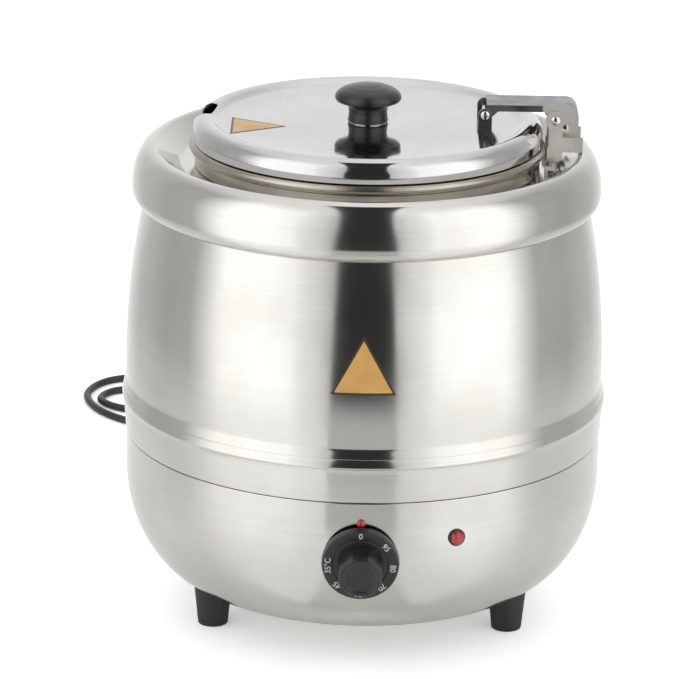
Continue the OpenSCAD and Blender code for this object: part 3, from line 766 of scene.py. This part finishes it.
@dataclass
class Hinge:
    """The swinging arm, its two brackets and the rivets and screws that hold them."""

    cheek_lead: float = 9.0

    def rivet(self, name: str, body: str, node: str) -> None:
        """Turns a rivet about its own axis: shank and two domed heads with a small flat land.

        Args:
            name: the object's name.
            body: the body it rides on.
            node: the CAD node it stands for.
        """
        lo, hi = low(node), high(node)
        half = (hi[1] - lo[1]) / 2
        head = (hi[2] - lo[2]) / 2
        dome = 1.4
        side = arc((0, half - dome), head, dome, 0, 90, 12)
        section = line(side[::-1], (head, half - dome), (2.0, half - dome), (2.0, dome - half),
                       (head, dome - half), side * (1, -1))
        middle = (lo + hi) / 2
        place = Matrix.Translation(middle) @ Matrix.Rotation(math.radians(90), 4, "X")
        settle(turned(name, section, closed=False, turns=64, place=place), body,
               "turned_stainless_rivet", "polished_steel", node)

    def arm(self) -> None:
        """Dresses the arm: brushed along its run, its two cheeks at the hinge tumbled bright.

        The plates are cut along the plane where the cheeks begin, a little before the rivet.
        """
        piece = refined("hinge_arm", "swing_arm", 0.25)
        start = (low("arm_pivot_rivet")[0] + high("arm_pivot_rivet")[0]) / 2 - self.cheek_lead
        work = bmesh.new()
        work.from_mesh(piece.data)
        bmesh.ops.bisect_plane(work, geom=work.verts[:] + work.edges[:] + work.faces[:], dist=1e-6,
                               plane_co=(start * MM, 0, 0), plane_no=(1, 0, 0))
        for face in work.faces:
            if abs(face.normal.y) > 0.9 and face.calc_center_median().x > start * MM:
                face.material_index = 1
        work.to_mesh(piece.data)
        work.free()
        settle(piece, "lid_arm", "brushed_stainless_arm", "satin_steel", "hinge_arm")
        piece.data.materials.append(SHOP.finish("tumbled_stainless_plate"))

    def cross_pin(self) -> None:
        """Turns the arm's cross pin, with upset ends that stand a little proud of the cheeks."""
        lo, hi = low("arm_cross_pin"), high("arm_cross_pin")
        half, r = (hi[1] - lo[1]) / 2, (hi[2] - lo[2]) / 2
        end = line((0, half + 0.24), (r * 0.6, half + 0.22), (r + 0.6, half + 0.12),
                   (r + 0.9, half + 0.01), (r, half))
        section = line(end, end[::-1] * (1, -1))
        place = Matrix.Translation((lo + hi) / 2) @ Matrix.Rotation(math.radians(90), 4, "X")
        settle(turned("arm_stop_pin", section, closed=False, turns=48, place=place), "lid_arm",
               "turned_stainless_rivet", "polished_steel", "arm_cross_pin")

    def screws(self) -> None:
        """Turns both bracket screws: domed heads with a cross recess sunk into them."""
        lo, hi = low("bracket_screws"), high("bracket_screws")
        top = hi[2]
        r = (hi[0] - lo[0]) / 2
        for s, name in ((-1, "bracket_screw_front"), (1, "bracket_screw_rear")):
            centre = Vector(((lo[0] + hi[0]) / 2, s * (hi[1] - r), 0))
            dome = arc((0, top - 2), r, 2, 0, 90, 12)[::-1]
            turn = np.linspace(0, 2 * np.pi, 72, endpoint=False)[:, None]
            radius = dome[None, :, 0] + 0 * turn
            slot = np.minimum(np.abs(np.cos(turn)), np.abs(np.sin(turn))) * radius
            sunk = 0.9 * np.exp(-(slot / 0.42) ** 4) * (radius < 1.9)
            z = dome[None, :, 1] - sunk
            under = np.array([[r, top - 2], [1.5, top - 2], [1.5, lo[2]], [0, lo[2]]])
            r_all = np.concatenate([radius, np.repeat(under[None, :, 0], 72, 0)], 1)
            z_all = np.concatenate([z, np.repeat(under[None, :, 1], 72, 0)], 1)
            points = np.stack([r_all * np.cos(turn), r_all * np.sin(turn), z_all], -1).reshape(-1, 3)
            piece = to_mesh(name, points, grid_faces(72, r_all.shape[1], True, False),
                            place=Matrix.Translation(centre))
            settle(piece, "kettle", "zinc_plated_steel", "zinc_steel",
                   *(["bracket_screws"] if s < 0 else []))

    def build(self) -> None:
        """Builds the plates and then what holds them."""
        self.arm()
        settle(refined("body_bracket", "collar_bracket", 0.2), "kettle", "tumbled_stainless_plate",
               "polished_steel", "body_bracket")
        settle(refined("lid_bracket", "lid_strap", 0.2), "lid", "brushed_stainless_arm",
               "polished_steel", "lid_bracket")
        self.rivet("arm_rivet", "kettle", "arm_pivot_rivet")
        self.rivet("lid_rivet", "lid", "lid_pivot_rivet")
        self.cross_pin()
        self.screws()


# ---------------------------------------------------------------- controls


@dataclass
class Dial:
    """The thermostat dial: a numbered skirt and an eight-sided grip with ribbed flats."""

    skins: Shells
    grip_apothem: float = 15.0
    grip_top: float = 24.0
    skirt_z: float = 6.0
    number_r: float = 21.2
    number_size: float = 5.6
    marks: tuple[tuple[float, str], ...] = (
        (0.0, "0"), (91.0, "35°C"), (134.0, "45"), (177.0, "55"), (222.0, "70"), (265.0, "80"), (309.0, "95"))

    def place(self) -> Matrix:
        """The dial's axes: +Z out of the bowl's face and +Y up it."""
        z = self.skins.bowl_c - 14.0
        return Matrix.Translation((0, -self.skins.bowl(z), z)) @ Matrix.Rotation(
            math.radians(90) + self.skins.bowl_lean(z), 4, "X")

    def build_skirt(self) -> None:
        """Turns the skirt, with a fine ring round the grip and a softened rim."""
        r = float(high("dial_knob")[0])
        z = self.skirt_z
        section = line((6, 3.0), (r - 2, 3.0), (r - 1.6, 1.2), arc((r - 0.5, 1.5), 0.5, 0.5, -110, 0, 6),
                       (r - 0.35, 3.4), arc((r - 1.6, z - 1), 1.0, 1.0, 10, 90, 8),
                       (19.0, z), (18.6, z - 0.35), (18.2, z), (6, z + 0.05))
        settle(turned("dial_skirt", section, turns=180, place=self.place()), "dial",
               "moulded_phenolic_black", "black_plastic", "dial_knob")

    def build_grip(self) -> None:
        """Lofts the grip: an octagon whose radius at an angle is apothem over cosine.

        The corners are eased by a soft minimum with a circle, and every second flat has
        ribs of a rectified sine, which run out before the top edge.
        """
        angle = np.linspace(0, 2 * np.pi, 576, endpoint=False)
        local = (angle - np.pi / 2 + np.pi / 8) % (np.pi / 4) - np.pi / 8
        flat = np.floor(((angle - np.pi / 2 + np.pi / 8) % (2 * np.pi)) / (np.pi / 4)).astype(int)
        octagon = self.grip_apothem / np.cos(local)
        eased = -np.log(np.exp(-octagon * 2.5) + np.exp(-15.95 * 2.5)) / 2.5
        across = self.grip_apothem * np.tan(local)
        ribs = 0.42 * (1 - np.abs(np.cos(np.pi * across / 1.35))) * (flat % 2 == 0) * (np.abs(across) < 5.1)
        top = self.grip_top
        levels = [(1.0, 4.6, 1.0), (0.996, 8.0, 1.0), (0.985, 15.0, 1.0), (0.975, 20.6, 1.0),
                  (0.968, 21.6, 0.3), (0.962, 22.4, 0.0), (0.945, 23.3, 0.0), (0.91, 23.85, 0.0),
                  (0.86, top, 0.0),
                  (0.72, top, 0.0), (0.69, top - 0.35, 0.0), (0.66, top - 0.4, 0.0), (0.3, top - 0.45, 0.0)]
        rings = []
        for scale, z, ribbed in levels:
            radius = (eased - ribs * ribbed) * scale
            rings.append(np.stack([radius * np.cos(angle), radius * np.sin(angle), np.full_like(angle, z)], -1))
        grip = lofted("dial_grip", np.stack(rings), crease=38, place=self.place())
        settle(grip, "dial", "moulded_phenolic_black", "black_plastic")

    def build_marks(self) -> None:
        """Stands each printed number on the skirt with its head outward."""
        for turn, text in self.marks:
            curve = bpy.data.curves.new("number", "FONT")
            curve.body, curve.size, curve.extrude = text, self.number_size, 0.04
            curve.align_x, curve.align_y = "CENTER", "CENTER"
            maker = bpy.data.objects.new("number", curve)
            bpy.context.scene.collection.objects.link(maker)
            bpy.context.view_layer.update()
            mesh = bpy.data.meshes.new_from_object(maker.evaluated_get(bpy.context.evaluated_depsgraph_get()))
            bpy.data.objects.remove(maker)
            spin = Matrix.Rotation(math.radians(turn), 4, "Z")
            place = self.place() @ spin @ Matrix.Translation((0, self.number_r + 0.6, self.skirt_z + 0.06))
            mesh.transform(Matrix.Scale(MM, 4) @ place)
            name = "dial_number_" + "".join(c for c in text if c.isdigit())
            mesh.name = name
            piece = bpy.data.objects.new(name, mesh)
            bpy.context.scene.collection.objects.link(piece)
            settle(piece, "dial", "printed_ink_white", "label_gold")

    def build(self) -> None:
        """Builds the dial."""
        self.build_skirt()
        self.build_grip()
        self.build_marks()


@dataclass
class Signals:
    """The pilot lamp in its bezel, the red index bead and the front label."""

    skins: Shells
    lamp_az: float = 22.7
    lamp_r: float = 6.0

    def lamp(self) -> None:
        """Turns the bezel ring and the domed lens with its stepped base."""
        place = Matrix.Rotation(math.radians(self.lamp_az), 4, "Z") @ Matrix.Translation(
            (0, -self.skins.wall_r, self.skins.bowl_c)) @ Matrix.Rotation(math.radians(90), 4, "X")
        r = self.lamp_r
        bezel = line((r - 2, -6), (r - 2, 0.1), (r - 0.4, 0.1), arc((r - 0.4, 0.75), 0.4, 0.65, -90, 90, 10),
                     (r - 0.85, 1.35), (r - 1.0, 0.9), (r - 3, 0.85), (r - 3, -6))
        settle(turned("lamp_bezel", bezel, turns=96, place=place), "kettle", "moulded_phenolic_black",
               "black_plastic", "lamp_housing")
        dome = arc((0, 1.5), r - 1.1, 2.6, 0, 90, 20)
        dome[:, 1] += 0.12 * (np.cos(dome[:, 0] * 2 * np.pi / 1.6) - 1) * (dome[:, 0] < 4)
        lens = line((0, -6), (r - 3.1, -6), (r - 3.1, 0.95), (r - 1.1, 1.0), dome)
        settle(turned("lamp_dome", lens, closed=False, turns=96, place=place), "kettle",
               "polycarbonate_red", "red_lens", "lamp_lens")

    def bead(self) -> None:
        """Turns the index bead: a small dome on a stalk."""
        lo, hi = low("index_bead"), high("index_bead")
        place = Matrix.Translation((0, -self.skins.wall_r, (lo[2] + hi[2]) / 2)) @ Matrix.Rotation(
            math.radians(90), 4, "X")
        section = line((0, -5), (1.5, -5), (1.5, 0.05), (2.7, 0.1), arc((0, 0.4), 3, 2.4, 0, 90, 14))
        settle(turned("index_dome", section, closed=False, turns=64, place=place), "kettle",
               "polycarbonate_red", "red_lens", "index_bead")

    def label(self) -> None:
        """Bends the front notice to the barrel: y = -sqrt(R(z)^2 - x^2) at each height."""
        lo, hi = low("front_label"), high("front_label")

        def bend(x: np.ndarray, y: np.ndarray, lift: float) -> np.ndarray:
            z = lo[2] + y
            radius = self.skins.barrel(z) + 0.03 + lift
            return np.stack([x, -np.sqrt(radius ** 2 - x ** 2), z], -1)

        build_triangle("front_notice", hi[0] - lo[0], hi[2] - lo[2], "kettle", "front_label", bend)

    def build(self) -> None:
        """Builds the lamp, the bead and the label."""
        self.lamp()
        self.bead()
        self.label()


# ---------------------------------------------------------------- feet


@dataclass
class Feet:
    """Three moulded rubber feet, their tops cut to the bowl."""

    skins: Shells
    circle: float = 117.0
    foot_r: float = 10.5
    swell: float = 0.097

    def bowl_under(self, rho: np.ndarray) -> np.ndarray:
        """Height of the bowl's skin above a radius: bowl_c less the ellipse's height there."""
        share = np.clip((rho - self.skins.bowl_flat) / self.skins.bowl_a, 0, 0.98)
        return self.skins.bowl_c - self.skins.bowl_h * np.sqrt(1 - share ** 2)

    def foot(self, name: str, angle: float, node: str) -> None:
        """Lofts one foot: recess, sole, rounded edge and a side that widens up to the bowl.

        Every ring but the last few is round; the side's height at each bearing is the
        bowl's height there, so the top follows the skin.

        Args:
            name: the object's name.
            angle: the foot's bearing in degrees.
            node: the CAD node it stands for.
        """
        t = np.linspace(0, 2 * np.pi, 96, endpoint=False)
        radii = [5.5, 5.5, 9.6]
        heights = [8.0, 0.4, 0.0]
        edge = arc((9.6, 1.1), 0.95, 1.1, -80, 0, 6)
        radii += list(edge[:, 0])
        heights += list(edge[:, 1])
        rings = [np.stack([r * np.cos(t), r * np.sin(t), np.full_like(t, h)], -1)
                 for r, h in zip(radii, heights)]
        for share in np.linspace(0.08, 1.0, 18):
            z = np.full_like(t, 12.0)
            for _ in range(4):
                r = self.foot_r + self.swell * z
                rho = np.hypot(self.circle + r * np.cos(t), r * np.sin(t))
                z = 1.1 + share * (self.bowl_under(rho) + 0.4 - 1.1)
            rings.append(np.stack([r * np.cos(t), r * np.sin(t), z], -1))
        inside = rings[-1] * (0.5, 0.5, 1.0)
        inside[:, 2] = self.bowl_under(np.hypot(self.circle + inside[:, 0], inside[:, 1])) + 0.4
        rings.append(inside)
        place = Matrix.Rotation(math.radians(angle), 4, "Z") @ Matrix.Translation((self.circle, 0, 0))
        settle(lofted(name, np.stack(rings), crease=50, place=place), "kettle",
               "moulded_rubber_black", "black_rubber", node)

    def build(self) -> None:
        """Builds the three feet."""
        for angle, node in ((208, "foot_left"), (332, "foot_right"), (90, "foot_rear")):
            self.foot(node + "_boot", angle, node)


# ---------------------------------------------------------------- cord


@dataclass
class Cord:
    """The mains cord on the floor, its ribbed sleeve and its two-pin plug."""

    skins: Shells
    cord_r: float = 3.0
    sleeve_l: float = 28.0
    plug_at: tuple[float, float, float] = (-22.0, 432.0, 19.5)
    route: tuple[tuple[float, float, float], ...] = (
        (-2, 216, 48), (-8, 236, 26), (-18, 256, 9), (-34, 276, 0), (-60, 298, 0), (-95, 322, 0),
        (-130, 340, 0), (-165, 354, 0), (-196, 372, 0), (-218, 400, 0), (-226, 434, 0),
        (-214, 464, 0), (-188, 478, 0), (-150, 482, 0), (-90, 482, 0), (-20, 482, 0), (50, 482, 0),
        (100, 480, 0), (138, 464, 0), (152, 432, 0), (138, 400, 0), (100, 386, 0), (40, 384, 0),
        (-30, 384, 0), (-100, 386, 0), (-160, 390, 0), (-196, 398, 0), (-214, 418, 0),
        (-206, 440, 0), (-180, 448, 0), (-150, 444, 1), (-120, 438, 6), (-92, 433, 13),
        (-76, 432, 16.5), (-60, 432, 16.5))

    def __post_init__(self) -> None:
        """Works out the way out of the bowl and the sleeve's length from the CAD box."""
        self.exit_z = self.skins.bowl_c - 29.0
        self.lean = self.skins.bowl_lean(self.exit_z)
        reach = float(high("cord_sleeve")[1])
        sleeve_r = self.cord_r + 2.5
        out = reach - self.skins.bowl(self.exit_z) - sleeve_r * math.sin(self.lean)
        self.sleeve_l = out / math.cos(self.lean)

    def exit_at(self, d: float) -> tuple[float, float, float]:
        """A point d millimetres out along the sleeve, its height that above the lying cord."""
        return (0.0, self.skins.bowl(self.exit_z) + d * math.cos(self.lean),
                self.exit_z - d * math.sin(self.lean) - self.cord_r)

    def centre_line(self, steps: int = 12) -> np.ndarray:
        """Smooth curve through the route's points.

        Between two points it is the cubic that passes through both with the slope of
        their neighbours' chord. It is kept off the floor and raised by the cord's radius.

        Args:
            steps: points per stretch.

        Returns:
            Points in millimetres.
        """
        starts = [self.exit_at(d) for d in (-4, 12, self.sleeve_l + 2, self.sleeve_l + 10)]
        knots = np.array(starts + list(self.route), float)
        padded = np.concatenate([knots[:1], knots, knots[-1:]])
        p0, p1, p2, p3 = (padded[i:len(padded) - 3 + i, None, :] for i in range(4))
        t = np.linspace(0, 1, steps, endpoint=False)[None, :, None]
        curve = (2 * p1 + (p2 - p0) * t + (2 * p0 - 5 * p1 + 4 * p2 - p3) * t ** 2
                 + (3 * p1 - p0 - 3 * p2 + p3) * t ** 3) / 2
        points = np.concatenate([curve.reshape(-1, 3), knots[-1:]])
        points[:, 2] = np.maximum(points[:, 2], 0.0)
        return points + (0, 0, self.cord_r)

    def build_cord(self, plug: bpy.types.Object, pins: bpy.types.Object) -> None:
        """Args:
            plug: not used.
            pins: not used.
        """
        points = self.centre_line() * MM
        curve = bpy.data.curves.new("mains_cord", "CURVE")
        curve.dimensions = "3D"
        spline = curve.splines.new("POLY")
        spline.points.add(len(points) - 1)
        spline.points.foreach_set("co", np.concatenate([points, np.ones((len(points), 1))], 1).ravel())
        curve.bevel_depth = self.cord_r * MM
        curve.bevel_resolution = 5
        curve.use_fill_caps = True
        spline.use_smooth = True
        piece = bpy.data.objects.new("mains_cord", curve)
        bpy.context.scene.collection.objects.link(piece)
        settle(piece, "kettle", "extruded_pvc_black", "cord_black", "power_cord")
        tuple(points[0])

    def build_sleeve(self) -> None:
        """Turns the strain sleeve: a flange, then a taper with six soft ribs."""
        place = Matrix.Translation((0, self.skins.bowl(self.exit_z), self.exit_z)) @ Matrix.Rotation(
            math.radians(-90) - self.lean, 4, "X")
        c, end = self.cord_r, self.sleeve_l
        z = np.linspace(6.2, end - 0.8, 90)
        taper = c + 4 + (2.5 - 4) * (z - 5) / (end - 5)
        ribs = taper - 0.45 * (1 + np.cos((z - 6.2) * 2 * np.pi * 6 / (end - 7))) / 2
        section = line((c + 0.05, -9), (c + 3, -9), (c + 3, 0.4), (c + 5.4, 0.6),
                       arc((c + 5.2, 1.4), 0.8, 0.8, -90, 0, 4),
                       arc((c + 5.2, 5.2), 0.8, 0.8, 0, 90, 5), np.stack([ribs, z], -1),
                       arc((c + 1.7, end - 0.8), 0.8, 0.8, 0, 90, 4), (c + 0.05, end))
        settle(turned("sleeve_moulding", section, turns=96, place=place), "kettle",
               "moulded_rubber_black", "black_plastic", "cord_sleeve")

    def build_plug(self) -> tuple[bpy.types.Object, bpy.types.Object]:
        """Lofts the plug's body with finger flats and turns its two pins.

        Returns:
            The body and the pins.
        """
        place = Matrix.Translation(self.plug_at) @ Matrix.Rotation(math.radians(90), 4, "Y")
        t = np.linspace(0, 2 * np.pi, 144, endpoint=False)
        side = line((3.2, -38), arc((4.0, -37.2), 0.8, 0.8, -90, 0, 4), (4.9, -30), (6.4, -17.5),
                    (8.0, -14.5), (11.6, -12.2), (13.4, -8), (15.6, -1.5), (16.8, 1.0), (18.7, 2.6),
                    arc((18.3, 4.2), 1.2, 1.2, -60, 0, 5), arc((18.3, 14.8), 1.2, 1.2, 0, 60, 5),
                    (17.8, 17.2), (17.2, 18))
        grip = np.exp(-((side[:, 1] + 6) / 6.0) ** 2)[:, None]
        rib = 0.35 * (side[:, 1] < 0)[:, None] * (side[:, 1] > -12)[:, None] * np.cos(side[:, 1] * 2.2)[:, None]
        radius = side[:, :1] * (1 - 0.16 * grip * np.cos(t)[None] ** 4) + rib * np.cos(t)[None] ** 8
        rings = np.stack([radius * np.cos(t), radius * np.sin(t), np.repeat(side[:, 1:], len(t), 1)], -1)
        body = settle(lofted("plug_moulding", rings, place=place), "kettle", "extruded_pvc_black",
                      "cord_black", "plug_body")
        pin = line((0, 18), (2.4, 18), arc((1.4, 36.0), 1.0, 1.0, 0, 90, 8), (0, 37))
        turn = np.linspace(0, 2 * np.pi, 48, endpoint=False)[:, None]
        one = np.stack([pin[None, :, 0] * np.cos(turn), pin[None, :, 0] * np.sin(turn),
                        pin[None, :, 1] + 0 * turn], -1).reshape(-1, 3)
        faces = grid_faces(48, len(pin), True, False)
        points = np.concatenate([one + (0, -9.5, 0), one + (0, 9.5, 0)])
        pins = to_mesh("plug_contacts", points, np.concatenate([faces, faces + len(one)]), place=place)
        return body, settle(pins, "kettle", "nickel_plated_brass", "nickel", "plug_pins")

    def build(self) -> None:
        """Builds the plug, then the cord that carries it, then the sleeve."""
        plug, pins = self.build_plug()
        self.build_cord(plug, pins)
        self.build_sleeve()


# ---------------------------------------------------------------- hidden parts


@dataclass
class Inside:
    """CAD nodes whose shape stays: the base, the well, the heater and the controls."""

    finishes: dict[str, tuple[str, ...]] = field(default_factory=lambda: {
        "tumbled_stainless_plate": ("base_cover", "seam_ring", "element_clamp"),
        "satin_stainless_pot": ("water_well",),
        "brushed_stainless_arm": ("heating_element",),
        "zinc_plated_steel": ("base_cover_screws", "foot_screws", "foot_nuts", "clamp_nuts",
                              "thermostat_nut", "knob_screw", "dial_shaft"),
        "plain_brass": ("earth_stud", "sensor_bulb", "capillary_tube"),
        "moulded_phenolic_black": ("gland_nut",),
        "steatite_cream": ("thermostat_body", "thermal_cutout", "terminal_block")})

    def build(self) -> None:
        """Gives each kept node its real finish."""
        for finish, nodes in self.finishes.items():
            for node in nodes:
                SHOP.coat(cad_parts[node], finish)
                LOG.info("%s kept: %s", node, finish)


# ---------------------------------------------------------------- studio


@dataclass
class Studio:
    """The floor, the soft light all round with a gap in front, and the camera."""

    camera_at: tuple[float, float, float] = (0.0, -2.70, 1.064)
    aim: tuple[float, float, float] = (-0.0100, 0.0027, 0.1922)
    lens: float = 207.4
    roll: float = 0.9
    floor_half: float = 6.0
    floor_lift: float = 0.33
    floor_fades: tuple[float, float] = (0.25, 1.05)
    strip: tuple[tuple[float, float], ...] = ((-0.44, 0.11), (-6.0, 1.54))
    tent: tuple[tuple[float, float], ...] = (
        (0.0, 1.0), (0.06, 0.8), (0.12, 0.65), (0.19, 0.62), (0.305, 0.52), (0.43, 0.56), (0.48, 0.56),
        (0.55, 0.9), (0.65, 1.55), (0.69, 1.6), (0.82, 1.6), (0.91, 1.45), (0.93, 1.22), (0.967, 1.0),
        (0.978, 0.8), (1.0, 0.75))
    overhead: tuple[float, ...] = (0.55, 0.55, 0.55, 1)
    gap_half: float = 0.25
    gap_narrows: float = -0.085
    gap_edge: float = 0.006
    gap_tone: tuple[float, ...] = (0.017, 0.017, 0.019, 1)

    def camera(self) -> None:
        """Sets the camera: looks from camera_at to aim, turned by roll about its axis."""
        data = bpy.data.cameras.new("camera")
        data.lens, data.sensor_width = self.lens, 36.0
        data.clip_start, data.clip_end = 0.1, 60.0
        camera = bpy.data.objects.new("camera", data)
        forward = (Vector(self.aim) - Vector(self.camera_at)).normalized()
        right = forward.cross(Vector((0, 0, 1))).normalized()
        up = right.cross(forward)
        c, s = math.cos(math.radians(self.roll)), math.sin(math.radians(self.roll))
        across, rise = right * c + up * s, up * c - right * s
        camera.matrix_world = Matrix((
            (across.x, rise.x, -forward.x, self.camera_at[0]),
            (across.y, rise.y, -forward.y, self.camera_at[1]),
            (across.z, rise.z, -forward.z, self.camera_at[2]),
            (0, 0, 0, 1)))
        bpy.context.scene.collection.objects.link(camera)
        bpy.context.scene.camera = camera

    def sheet(self, name: str, corners: list[tuple[float, float]], z: float) -> bpy.types.Object:
        """Makes a flat stage sheet.

        Args:
            name: the object's name.
            corners: its corners (x, y) in metres, in order round it.
            z: its height in metres.

        Returns:
            The new object.
        """
        mesh = bpy.data.meshes.new(name)
        mesh.from_pydata([(x, y, z) for x, y in corners], [], [tuple(range(len(corners)))])
        piece = bpy.data.objects.new(name, mesh)
        bpy.context.scene.collection.objects.link(piece)
        return piece

    def floor(self) -> None:
        """Lays the pale floor, and a grey strip on it that only polished metal sees.

        Polished metal sees the floor fade into the tent with distance r from the middle,
        and the camera sees it a little lighter than it is lit.
        """
        h, strip = self.floor_half, self.strip
        floor = self.sheet("floor", [(-h, -h), (h, -h), (h, h), (-h, h)], 0.0)
        material, tree = blank("painted_board_white")
        path, place = add(tree, "LightPath"), add(tree, "TexCoord").outputs["Object"]
        noise = add(tree, "TexNoise", {"Vector": place, "Scale": 4.0, "Detail": 2.0})
        colour = add(tree, "Mix", {0: noise, 6: linear("FBFBFA"), 7: linear("F6F6F5")}, data_type="RGBA")
        lift = add(tree, "Math", {0: path.outputs["Is Camera Ray"], 1: self.floor_lift}, operation="MULTIPLY")
        board = add(tree, "BsdfPrincipled", {
            "Base Color": colour.outputs[2], "Roughness": 0.6, "Specular IOR Level": 0.2,
            "Emission Color": (1, 1, 1, 1), "Emission Strength": lift})
        reach = add(tree, "VectorMath", {0: place}, operation="LENGTH").outputs["Value"]
        start, end = self.floor_fades
        fade = add(tree, "MapRange", {"Value": reach, "From Min": start, "From Max": end, "To Min": 0.15})
        clear = add(tree, "Math", {0: fade, 1: path.outputs["Is Glossy Ray"]}, operation="MULTIPLY")
        seen = add(tree, "MixShader", {0: clear, 1: board, 2: add(tree, "BsdfTransparent")})
        add(tree, "OutputMaterial", {"Surface": seen})
        floor.data.materials.append(material)

        (near, near_half), (far, far_half) = strip
        corners = [(-near_half, near), (-far_half, far), (far_half, far), (near_half, near)]
        card = self.sheet("grey_strip", corners, 0.004)
        for ray in ("camera", "diffuse", "shadow", "transmission", "volume_scatter"):
            setattr(card, "visible_" + ray, False)
        material, tree = blank("grey_card")
        way = add(tree, "SeparateXYZ", {"Vector": add(tree, "TexCoord").outputs["Object"]})
        glow = add(tree, "MapRange", {
            "Value": way.outputs["Y"], "From Min": -1.1, "From Max": -0.72, "To Min": 0.04, "To Max": 0.6},
            interpolation_type="SMOOTHSTEP")
        add(tree, "OutputMaterial", {"Surface": add(tree, "Emission", {"Strength": glow})})
        card.data.materials.append(material)

    def world(self) -> None:
        """Lights the kettle from all round, as soft boxes in a tent do.

        With (x, y, z) the direction: brightness follows the bearing's cosine,
        c = -y / sqrt(x^2 + y^2), is full overhead, and a narrow gap where |x| is small
        and y below zero is dark, which the polished skin shows as its dark band. Matt
        surfaces get a little more light, and the camera itself sees plain white. The
        ramp holds half of each value, and the strength is double. The gap is gap_half wide
        to each side at the horizon and narrows with height.
        """
        world = bpy.data.worlds.new("tent")
        bpy.context.scene.world = world
        world.use_nodes = True
        tree = world.node_tree
        tree.nodes.clear()
        way = add(tree, "SeparateXYZ", {"Vector": add(tree, "TexCoord").outputs["Generated"]})
        x, y, z = way.outputs
        level = add(tree, "CombineXYZ", {"X": x, "Y": y})
        run = add(tree, "VectorMath", {0: level}, operation="LENGTH").outputs["Value"]
        some = add(tree, "Math", {0: run, 1: 0.001}, operation="MAXIMUM")
        front = add(tree, "Math", {0: y, 1: -1.0}, operation="MULTIPLY")
        cosine = add(tree, "Math", {0: front, 1: some}, operation="DIVIDE")
        share = add(tree, "MapRange", {"Value": cosine, "From Min": -1.0, "From Max": 1.0})
        round_about = add(tree, "ValToRGB", {0: share})
        elements = round_about.color_ramp.elements
        while len(elements) < len(self.tent):
            elements.new(0.5)
        for element, (at, value) in zip(elements, self.tent):
            element.position = at
            element.color = (value / 2, value / 2, value * 0.4975, 1)
        above = add(tree, "MapRange", {"Value": z, "From Min": 0.6, "From Max": 0.95},
                    interpolation_type="SMOOTHSTEP")
        tent = add(tree, "Mix", {0: above, 6: round_about, 7: self.overhead}, data_type="RGBA")
        side = add(tree, "Math", {0: x}, operation="ABSOLUTE")
        rise = add(tree, "Math", {0: z, 1: 0.0}, operation="MAXIMUM")
        limit = add(tree, "Math", {0: rise, 1: self.gap_narrows, 2: self.gap_half}, operation="MULTIPLY_ADD")
        inside = add(tree, "Math", {0: limit, 1: side}, operation="SUBTRACT")
        gap = add(tree, "MapRange", {"Value": inside, "From Min": -self.gap_edge, "From Max": self.gap_edge},
                  interpolation_type="SMOOTHSTEP")
        ahead = add(tree, "MapRange", {"Value": front, "From Min": -0.12, "From Max": -0.02},
                    interpolation_type="SMOOTHSTEP")
        both = add(tree, "Math", {0: gap, 1: ahead}, operation="MULTIPLY")
        dark = add(tree, "Mix", {0: both, 6: tent.outputs[2], 7: self.gap_tone}, data_type="RGBA")
        path = add(tree, "LightPath")
        strength = add(tree, "Math", {0: path.outputs["Is Diffuse Ray"], 1: 0.6, 2: 2.0},
                       operation="MULTIPLY_ADD")
        lit = add(tree, "Background", {"Color": dark.outputs[2], "Strength": strength})
        plain = add(tree, "Background", {"Color": (1, 1, 1, 1), "Strength": 1.0})
        seen = add(tree, "MixShader", {0: path.outputs["Is Camera Ray"], 1: lit, 2: plain})
        add(tree, "OutputWorld", {"Surface": seen})

    def build(self) -> None:
        """Sets up the stage."""
        self.camera()
        self.floor()
        self.world()
        bpy.context.scene.view_settings.view_transform = "Standard"


def main() -> None:
    """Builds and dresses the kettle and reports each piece."""
    logging.basicConfig(level=logging.INFO, format="%(name)s: %(message)s")
    skins = Shells()
    skins.build()
    Pot(skins).build()
    Lid().build()
    Hinge().build()
    Dial(skins).build()
    Signals(skins).build()
    Feet(skins).build()
    Cord(skins).build()
    Inside().build()
    Studio().build()


if __name__ == "__main__":
    main()
